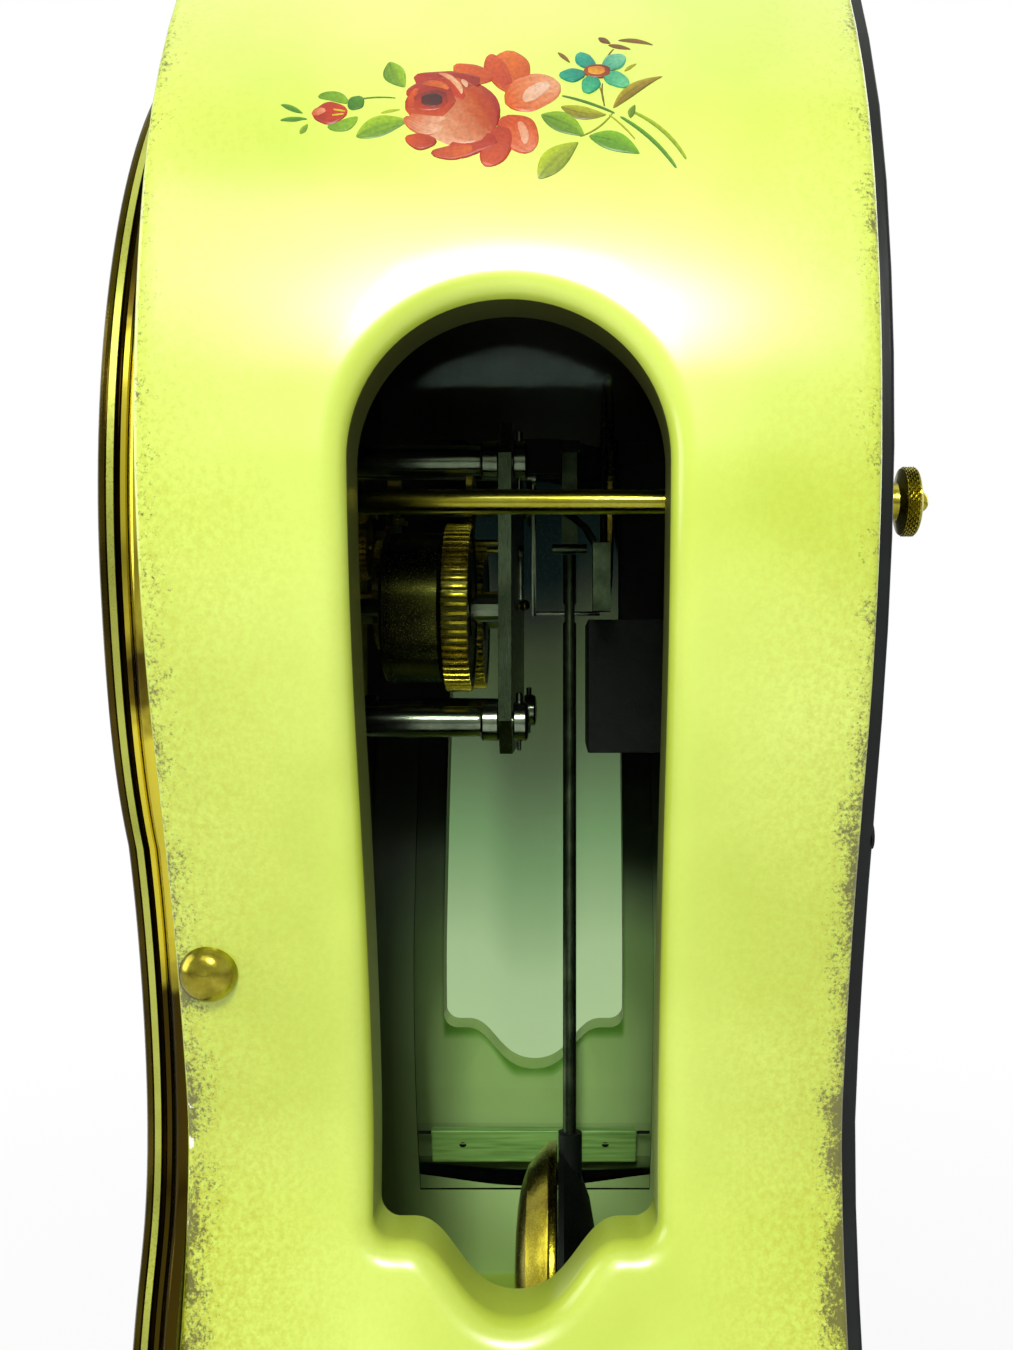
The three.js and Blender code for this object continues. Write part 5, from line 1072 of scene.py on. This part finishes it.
footShares = [(0, 0), (0.66, 0), (0.8, 0.03), (0.93, 0.13), (1.0, 0.3), (0.97, 0.47), (0.84, 0.62), (0.62, 0.71),
              (0.5, 0.76), (0.5, 0.82), (0.56, 0.85), (0.78, 0.88), (0.8, 0.92), (0.8, 1.0), (0, 1.0)]
finialShares = [(0, 0), (0.8, 0), (0.84, 0.02), (0.84, 0.07), (0.6, 0.1), (0.4, 0.13), (0.32, 0.18), (0.33, 0.22),
                (0.48, 0.245), (0.6, 0.27), (0.6, 0.29), (0.72, 0.31), (0.9, 0.37), (0.99, 0.44), (1.0, 0.5),
                (0.95, 0.56), (0.8, 0.62), (0.56, 0.665), (0.43, 0.69), (0.4, 0.715), (0.5, 0.735), (0.6, 0.76),
                (0.58, 0.8), (0.42, 0.86), (0.28, 0.91), (0.18, 0.955), (0.1, 0.985), (0, 1)]
for side in ("rightFront", "rightBack", "leftFront", "leftBack"):
    uprightTurned(f"{side}BrassFoot", side.replace("F", "_f").replace("B", "_b") + "_foot", footShares)
uprightTurned("turnedFinial", "finial", finialShares)
print("cap, plinth, feet and finial done")

# Boards that stay plain get eased edges; the inside of the front board takes the lacquer with painted shade
standsFor(easedCopy("back_board", "lacqueredBackBoard", blackLacquer, 0.8 * mm), "black_lacquer", "back_board")
board = easedCopy("front_board", "lacqueredFrontBoard", plainLacquer, 0.4 * mm)
board.data.materials.append(insideLacquerPaintedShade)
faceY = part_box("front_board")[0][1] + 1 * mm
for face in board.data.polygons:
    face.material_index = 0 if face.center.y < faceY else 1
standsFor(board, "lacquer", "front_board")

# Back board screws: countersunk and blacked, their heads flush with the board, each head in two halves beside its slot
backScrews = {"radius": 2.6 * mm, "rise": 0.25 * mm, "sink": 0.3 * mm, "slot": 0.4 * mm,
              "places": [(70, 372), (0, 376), (-70, 372), (100, 200), (-100, 200), (78, 130), (-78, 130), (98, 42),
                         (0, 42), (-98, 42)]}
backFace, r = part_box("back_board")[1][1], backScrews["radius"]
heads = []
for x, z in backScrews["places"]:
    for side in (-1, 1):
        arc = [(x * mm + side * max(backScrews["slot"], r * math.cos(a)), z * mm + r * math.sin(a))
               for a in (math.pi / 2 * (j / 10) for j in range(-10, 11))]
        points = [(px, y, pz) for y in (backFace + backScrews["rise"], backFace - backScrews["sink"]) for px, pz in arc]
        heads.append(closedPiece("backScrew", points, ringFaces(2, len(arc)), blackedIron))
addedTo(together("backBoardScrews", heads), "case")


# A slotted round-head screw along X, its head towards `way`
def slottedScrew(name, at, radius, way, material):
    rise = radius * 0.6
    profile = [(0, -rise * 0.5), (radius, -rise * 0.5), (radius, 0)]
    profile += domeRows(radius, 0, rise, (0.4, 0.8, 1.2)) + [(0, rise)]
    head = turnedPiece(name, [(r, way * s) for r, s in profile], material, "X", at, 24, 35)
    centre, size = Vector(at) + Vector((way * rise * 1.35, 0, 0)), Vector((rise, radius * 1.2, radius * 0.14))
    cutOut(head, barPiece("slot", tuple(centre - size), tuple(centre + size), material, 0.02 * mm))
    return head


# Battens with a screw near each end and a pin beside each end that holds the glass
for side, sign in (("right", 1), ("left", -1)):
    node = f"{side}_glass_batten"
    low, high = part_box(node)
    standsFor(easedCopy(node, f"{side}Batten", battenPaint, 0.5 * mm), "batten_wood", node)
    inner, middle = min(abs(low[0]), abs(high[0])), (low[2] + high[2]) / 2
    screwX, pinX, fixings = sign * (inner + 2.4 * mm), sign * (inner + 3.4 * mm), []
    for i, y in enumerate((low[1] + 10 * mm, high[1] - 10 * mm)):
        at = (screwX, y, middle + 1.2 * mm)
        fixings.append(slottedScrew(f"battenScrew{i}", at, 1.4 * mm, -sign, blackedIron))
    for i, y in enumerate((low[1] - 2.2 * mm, high[1] + 2.2 * mm)):
        profile = rowsFrom(y, [(0, -2.2), (0.5, -2.2), (0.5, 2.0), (0, 2.2)])
        at = (pinX, 0, high[2] - 1.5 * mm)
        fixings.append(turnedPiece(f"glassPin{i}", profile, blackedIron, "Y", at, 16))
    addedTo(together(f"{side}BattenFixings", fixings), "case")
print("boards, screws and battens done")

# Movement: two plates on four turned pillars, each pillar held by a taper pin behind the back plate
plates = {"front": -53.05 * mm, "back": -9.25 * mm, "behind": -6.25 * mm}
pillar = {
    "collar": [(4.185, 0), (4.5, 0.4), (4.5, 3.6), (4.185, 4.0), (3.51, 4.2), (3.42, 5.0), (3.5, 5.6)],
    "nut": [(2.0, -5.95), (4.32, -5.95), (4.59, -5.6), (4.59, -3.2), (4.05, -2.7), (2.25, -2.35), (0, -2.25)],
    "pin": [(0, -6.8), (0.45, -6.6), (0.8, 6.6), (0, 6.8)], "pinY": -4.65 * mm, "belly": 3.71 * mm,
}
start, stop = plates["front"], plates["back"]
profile = [(0, start)] + rowsFrom(start, pillar["collar"]) + [(pillar["belly"], (start + stop) / 2)]
profile += [(radius * mm, stop - along * mm) for radius, along in reversed(pillar["collar"])]
profile += [(2.0 * mm, stop)] + rowsFrom(0, pillar["nut"])
for side, x in (("right", 44 * mm), ("left", -44 * mm)):
    for level, z in (("upper", 280 * mm), ("lower", 219.6 * mm)):
        shaft = turnedPiece("shaft", profile, turnedSteel, "Y", (x, 0, z), 48, 28)
        pin = turnedPiece("pin", rowsFrom(z, pillar["pin"]), turnedSteel, "Z", (x, pillar["pinY"], 0), 16)
        standsFor(together(f"{side}{level.capitalize()}PinnedPillar", [shaft, pin]), "steel", f"{side}_{level}_pillar")
print("pillars done")

# Toothed barrel: cap, drum and wheel turned in one, sixty straight-sided teeth set by the node tree
barrel = {"cap": -37.05 * mm, "wheel": -22.35 * mm, "back": -16.35 * mm, "root": 19.0 * mm, "tip": 20.26 * mm,
          "teeth": 60, "tooth": 1.0 * mm, "z": 246.5 * mm}


# One tooth along +Z: a bar that narrows towards its tip
def toothUnit(root, tip, width, length, material):
    half, shoulder = width / 2, root + (tip - root) * 0.55
    points = []
    for z, inwards in ((0, 0.35), (0.06, 0.0), (0.94, 0.0), (1, 0.35)):
        reach = tip - inwards * 0.4 * mm
        crown = reach + 0.06 * mm * (1 - inwards)
        outline = [(root, -1.1), (shoulder, -1.04), (reach, -0.62), (crown, 0), (reach, 0.62), (shoulder, 1.04),
                   (root, 1.1)]
        points += [(x, half * y, z * length) for x, y in outline]
    return closedPiece("toothUnit", points, ringFaces(4, 7), material, 32)


profile = rowsFrom(barrel["cap"], [(2.5, 0.5), (6.2, 0.5), (6.6, 0), (16.74, 0), (17.55, 0.25), (18, 0.9),
                                   (18, 2.0), (17.73, 2.15), (17.73, 2.45), (18, 2.6)])
profile += rowsFrom(barrel["wheel"], [(18, -1.2), (18.54, -0.3), (19.12, 0)])
profile += rowsFrom(barrel["back"], [(19.12, 0), (17.1, 0), (16.72, -0.3), (7, -0.3), (6.8, 0), (2.5, 0)])
for side, x in (("going", 30 * mm), ("strike", -30 * mm)):
    drum = turnedPiece("drum", profile, shadedBarrelBrass, "Y", (x, 0, barrel["z"]), 120, 28)
    unit = toothUnit(barrel["root"], barrel["tip"], barrel["tooth"], barrel["back"] - barrel["wheel"], toothBrass)
    ring = repeated("barrelTeeth", unit, {"columns": barrel["teeth"], "radius": 0.0}, toothBrass, "Y",
                    (x, barrel["wheel"], barrel["z"]))
    standsFor(together(f"{side}ToothedBarrel", [drum, ring]), "brass", f"{side}_barrel")
print("barrels done")

# Pendulum bob: pressed brass dome with a rolled rim and a turned line, over a cast iron back
bob = {"z": 72 * mm, "radius": 34 * mm, "front": -7.05 * mm, "shoulder": 2.4 * mm, "rim": 3.85 * mm}
r, rise = bob["radius"], bob["shoulder"] - bob["front"]
curve = lambda share, shares: [(t, (0.12 * t ** 2 + 0.88 * t ** 5) * share) for t in shares]
shares = [(0, 0)] + curve(0.92, (0.1, 0.2, 0.3, 0.4, 0.5, 0.58, 0.66, 0.73, 0.79))
shares += [(0.80, 0.335), (0.805, 0.37), (0.815, 0.37), (0.82, 0.345)] + curve(0.96, (0.86, 0.9, 0.94, 0.97))
shell = sharesOf(r, bob["front"], bob["shoulder"], shares)
edge = eased([shell[-1], (r, bob["shoulder"] - 0.6 * mm), (r, bob["rim"]), (r * 0.94, bob["rim"])], 0.5 * mm)[1:]
profile = shell + edge + [(0, bob["rim"])]
standsFor(turnedPiece("domedBobShell", profile, bobBrass, "Y", (0, 0, bob["z"]), 128, 24), "brass", "bob_front")
standsFor(easedCopy("bob_back", "castBobBack", blackedIron, 0.5 * mm, 35), "iron", "bob_back")

low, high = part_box("rating_nut")
grip, x, y = knurling["rating"], (low[0] + high[0]) / 2, (low[1] + high[1]) / 2
profile = rowsFrom(low[2], [(0, 0), (3.4, 0), (4.4, 0.3), (4.7, 0.45)])
profile += rowsFrom(high[2], [(4.7, -0.45), (4.4, -0.3), (3.4, 0), (0, 0)])
nut = turnedPiece("nut", profile, dullBrass, "Z", (x, y, 0), 48)
knurl = knurled("ratingKnurl", grip, "Z", (x, y, low[2] + (high[2] - low[2] - grip["length"]) / 2))
standsFor(together("knurledRatingNut", [nut, knurl]), "brass", "rating_nut")
print("bob and rating nut done")

# The rest of the movement: the CAD shapes with eased edges (width in millimetres)
easedRows = [
    ("front_plate", 0.35, cutBrass, "brass"), ("back_plate", 0.35, shadedPlateMetal, "brass"),
    ("anchor_pallets", 0.15, turnedSteel, "steel"), ("crutch", 0.2, turnedSteel, "steel"),
    ("suspension_cock", 0.35, blackedIron, "iron"), ("gong_stand", 0.8, blackedIron, "iron"),
    ("hammer", 0.25, oiledSteel, "steel"), ("pendulum_rod", 0.15, oiledSteel, "steel"),
    ("gong", 0, goldenWire, "brass"), ("door_catch", 0.12, turnedSteel, "steel"), ("fly", 0.1, cutBrass, "brass"),
]
for node, width, finish, slot in easedRows:
    first, *rest = node.split("_")
    name = first + "".join(word.capitalize() for word in rest) + "Eased"
    standsFor(easedCopy(node, name, finish, width * mm, 35), slot, node)
print("movement pieces eased")

# Back plate details that the photograph shows: a round boss, a lever strip and its ball nut
behind = plates["behind"]
profile = rowsFrom(behind, [(0, -0.1), (1.9, -0.1), (1.9, 0.9), (1.615, 1.2), (0, 1.3)])
boss = turnedPiece("boss", profile, shadedPlateMetal, "Y", (-3.0 * mm, 0, 262.5 * mm), 32)
strip = barPiece("strip", (-3.5 * mm, behind - 0.1 * mm, 250 * mm), (-1.7 * mm, behind + 0.8 * mm, 262.8 * mm),
                 turnedSteel, 0.2 * mm)
ball = {"radius": 1.5 * mm, "rise": 1.425 * mm, "middle": behind + 1.5 * mm}
profile = rowsFrom(behind, [(0, -0.1), (0.9, -0.1), (0.9, 0.4)])
profile += domeRows(ball["radius"], ball["middle"], ball["rise"], (-0.8, -0.45, -0.1, 0.25, 0.6, 0.95, 1.3))
profile += [(0, ball["middle"] + ball["rise"])]
ballNut = turnedPiece("ball", profile, goldenWire, "Y", (-2.4 * mm, 0, 248.6 * mm), 32)
addedTo(together("backPlateFittings", [boss, strip, ballNut]), "case")
print("movement done")

# Dial: enamel plate, turned bezel, minute marks and hands
dial = {"z": 265 * mm, "face": -66.65 * mm, "back": -66.95 * mm, "front": -71.3 * mm, "marks": 82.2 * mm,
        "numbers": 69 * mm, "numberSize": 19 * mm, "numberWidth": 0.8, "windingX": 30 * mm, "windingZ": 246.5 * mm}
profile = rowsFrom(dial["back"], [(88.5, -0.1), (88.5, -1.2), (89.9, -1.5), (90.3, -2.3)])
profile += rowsFrom(dial["front"], [(91.5, 0.4), (93.7, 0), (95.7, 0.7), (96.7, 1.9), (97.1, 2.1), (98.6, 2.6)])
profile = eased(profile + rowsFrom(dial["back"], [(98.6, 0.05), (88.5, 0.05)]), 0.25 * mm, True, 2)
standsFor(turnedPiece("turnedBezel", profile, polishedBrass, "Y", (0, 0, dial["z"]), 160), "brass", "dial_bezel")
standsFor(easedCopy("dial_plate", "enamelledDial", whiteEnamel, 0.3 * mm, 35), "enamel", "dial_plate")


# Paint on the dial: thin bars set by the same tree
def markRing(name, columns, wide, thick):
    tall = 2.6 * mm
    points = [(x * tall / 2, y * wide / 2, z * thick / 2) for x in (-1, 1) for y in (-1, 1) for z in (-1, 1)]
    faces = [(0, 1, 3, 2), (4, 6, 7, 5), (0, 4, 5, 1), (2, 3, 7, 6), (0, 2, 6, 4), (1, 5, 7, 3)]
    unit = closedPiece("markUnit", points, faces, dialPaint)
    row, centre = {"columns": columns, "radius": dial["marks"]}, (0, dial["face"], dial["z"])
    return repeated(name, unit, row, dialPaint, "Y", centre)


face = dial["face"]
markings = [markRing("minuteMarks", 60, 0.5 * mm, 0.08 * mm), markRing("hourMarks", 12, 1.3 * mm, 0.09 * mm)]
for radius in (80.4, 84.0):
    inside, outside = radius - 0.15, radius + 0.15
    profile = rowsFrom(face, [(inside, -0.04), (outside, -0.04), (outside, 0.04), (inside, 0.04)])
    markings.append(turnedPiece("chapterLine", profile, dialPaint, "Y", (0, 0, dial["z"]), 128))
profile = eased(rowsFrom(face, [(3.25, -0.9), (4.9, -0.9), (5.4, -0.3), (5.4, 0.05), (3.25, 0.05)]), 0.2 * mm, True, 2)
for x in (-dial["windingX"], dial["windingX"]):
    markings.append(turnedPiece("windingCollet", profile, polishedBrass, "Y", (x, 0, dial["windingZ"]), 40))

# Hour numbers from an ordinary plain typeface, upright round the dial
for hour in range(1, 13):
    letters = bpy.data.curves.new(f"hour{hour}", "FONT")
    letters.body = str(hour)
    letters.size = dial["numberSize"]
    letters.extrude = 0.05 * mm
    letters.align_x = letters.align_y = "CENTER"
    number = shown(f"hourNumber{hour}", letters)
    mesh = bpy.data.meshes.new_from_object(number.evaluated_get(bpy.context.evaluated_depsgraph_get()))
    bpy.data.objects.remove(number)
    xs, ups = [v.co.x for v in mesh.vertices], [v.co.y for v in mesh.vertices]
    midX, midUp = (min(xs) + max(xs)) / 2, (min(ups) + max(ups)) / 2
    angle = math.pi / 2 - hour * math.pi / 6
    x, z = dial["numbers"] * math.cos(angle), dial["z"] + dial["numbers"] * math.sin(angle)
    # seen from the front, text runs along +X with its face towards -Y
    for vertex in mesh.vertices:
        across, up, depth = vertex.co
        vertex.co = (x + (across - midX) * dial["numberWidth"], face - depth, z + up - midUp)
    mesh.materials.append(dialPaint)
    markings.append(shown(f"hourNumber{hour}", mesh))
addedTo(together("dialMarkings", markings), "case")
for node in ("hour_hand", "minute_hand"):
    standsFor(easedCopy(node, node.split("_")[0] + "HandEased", bluedSteel, 0.12 * mm, 35), "steel", node)
print("dial and hands done")
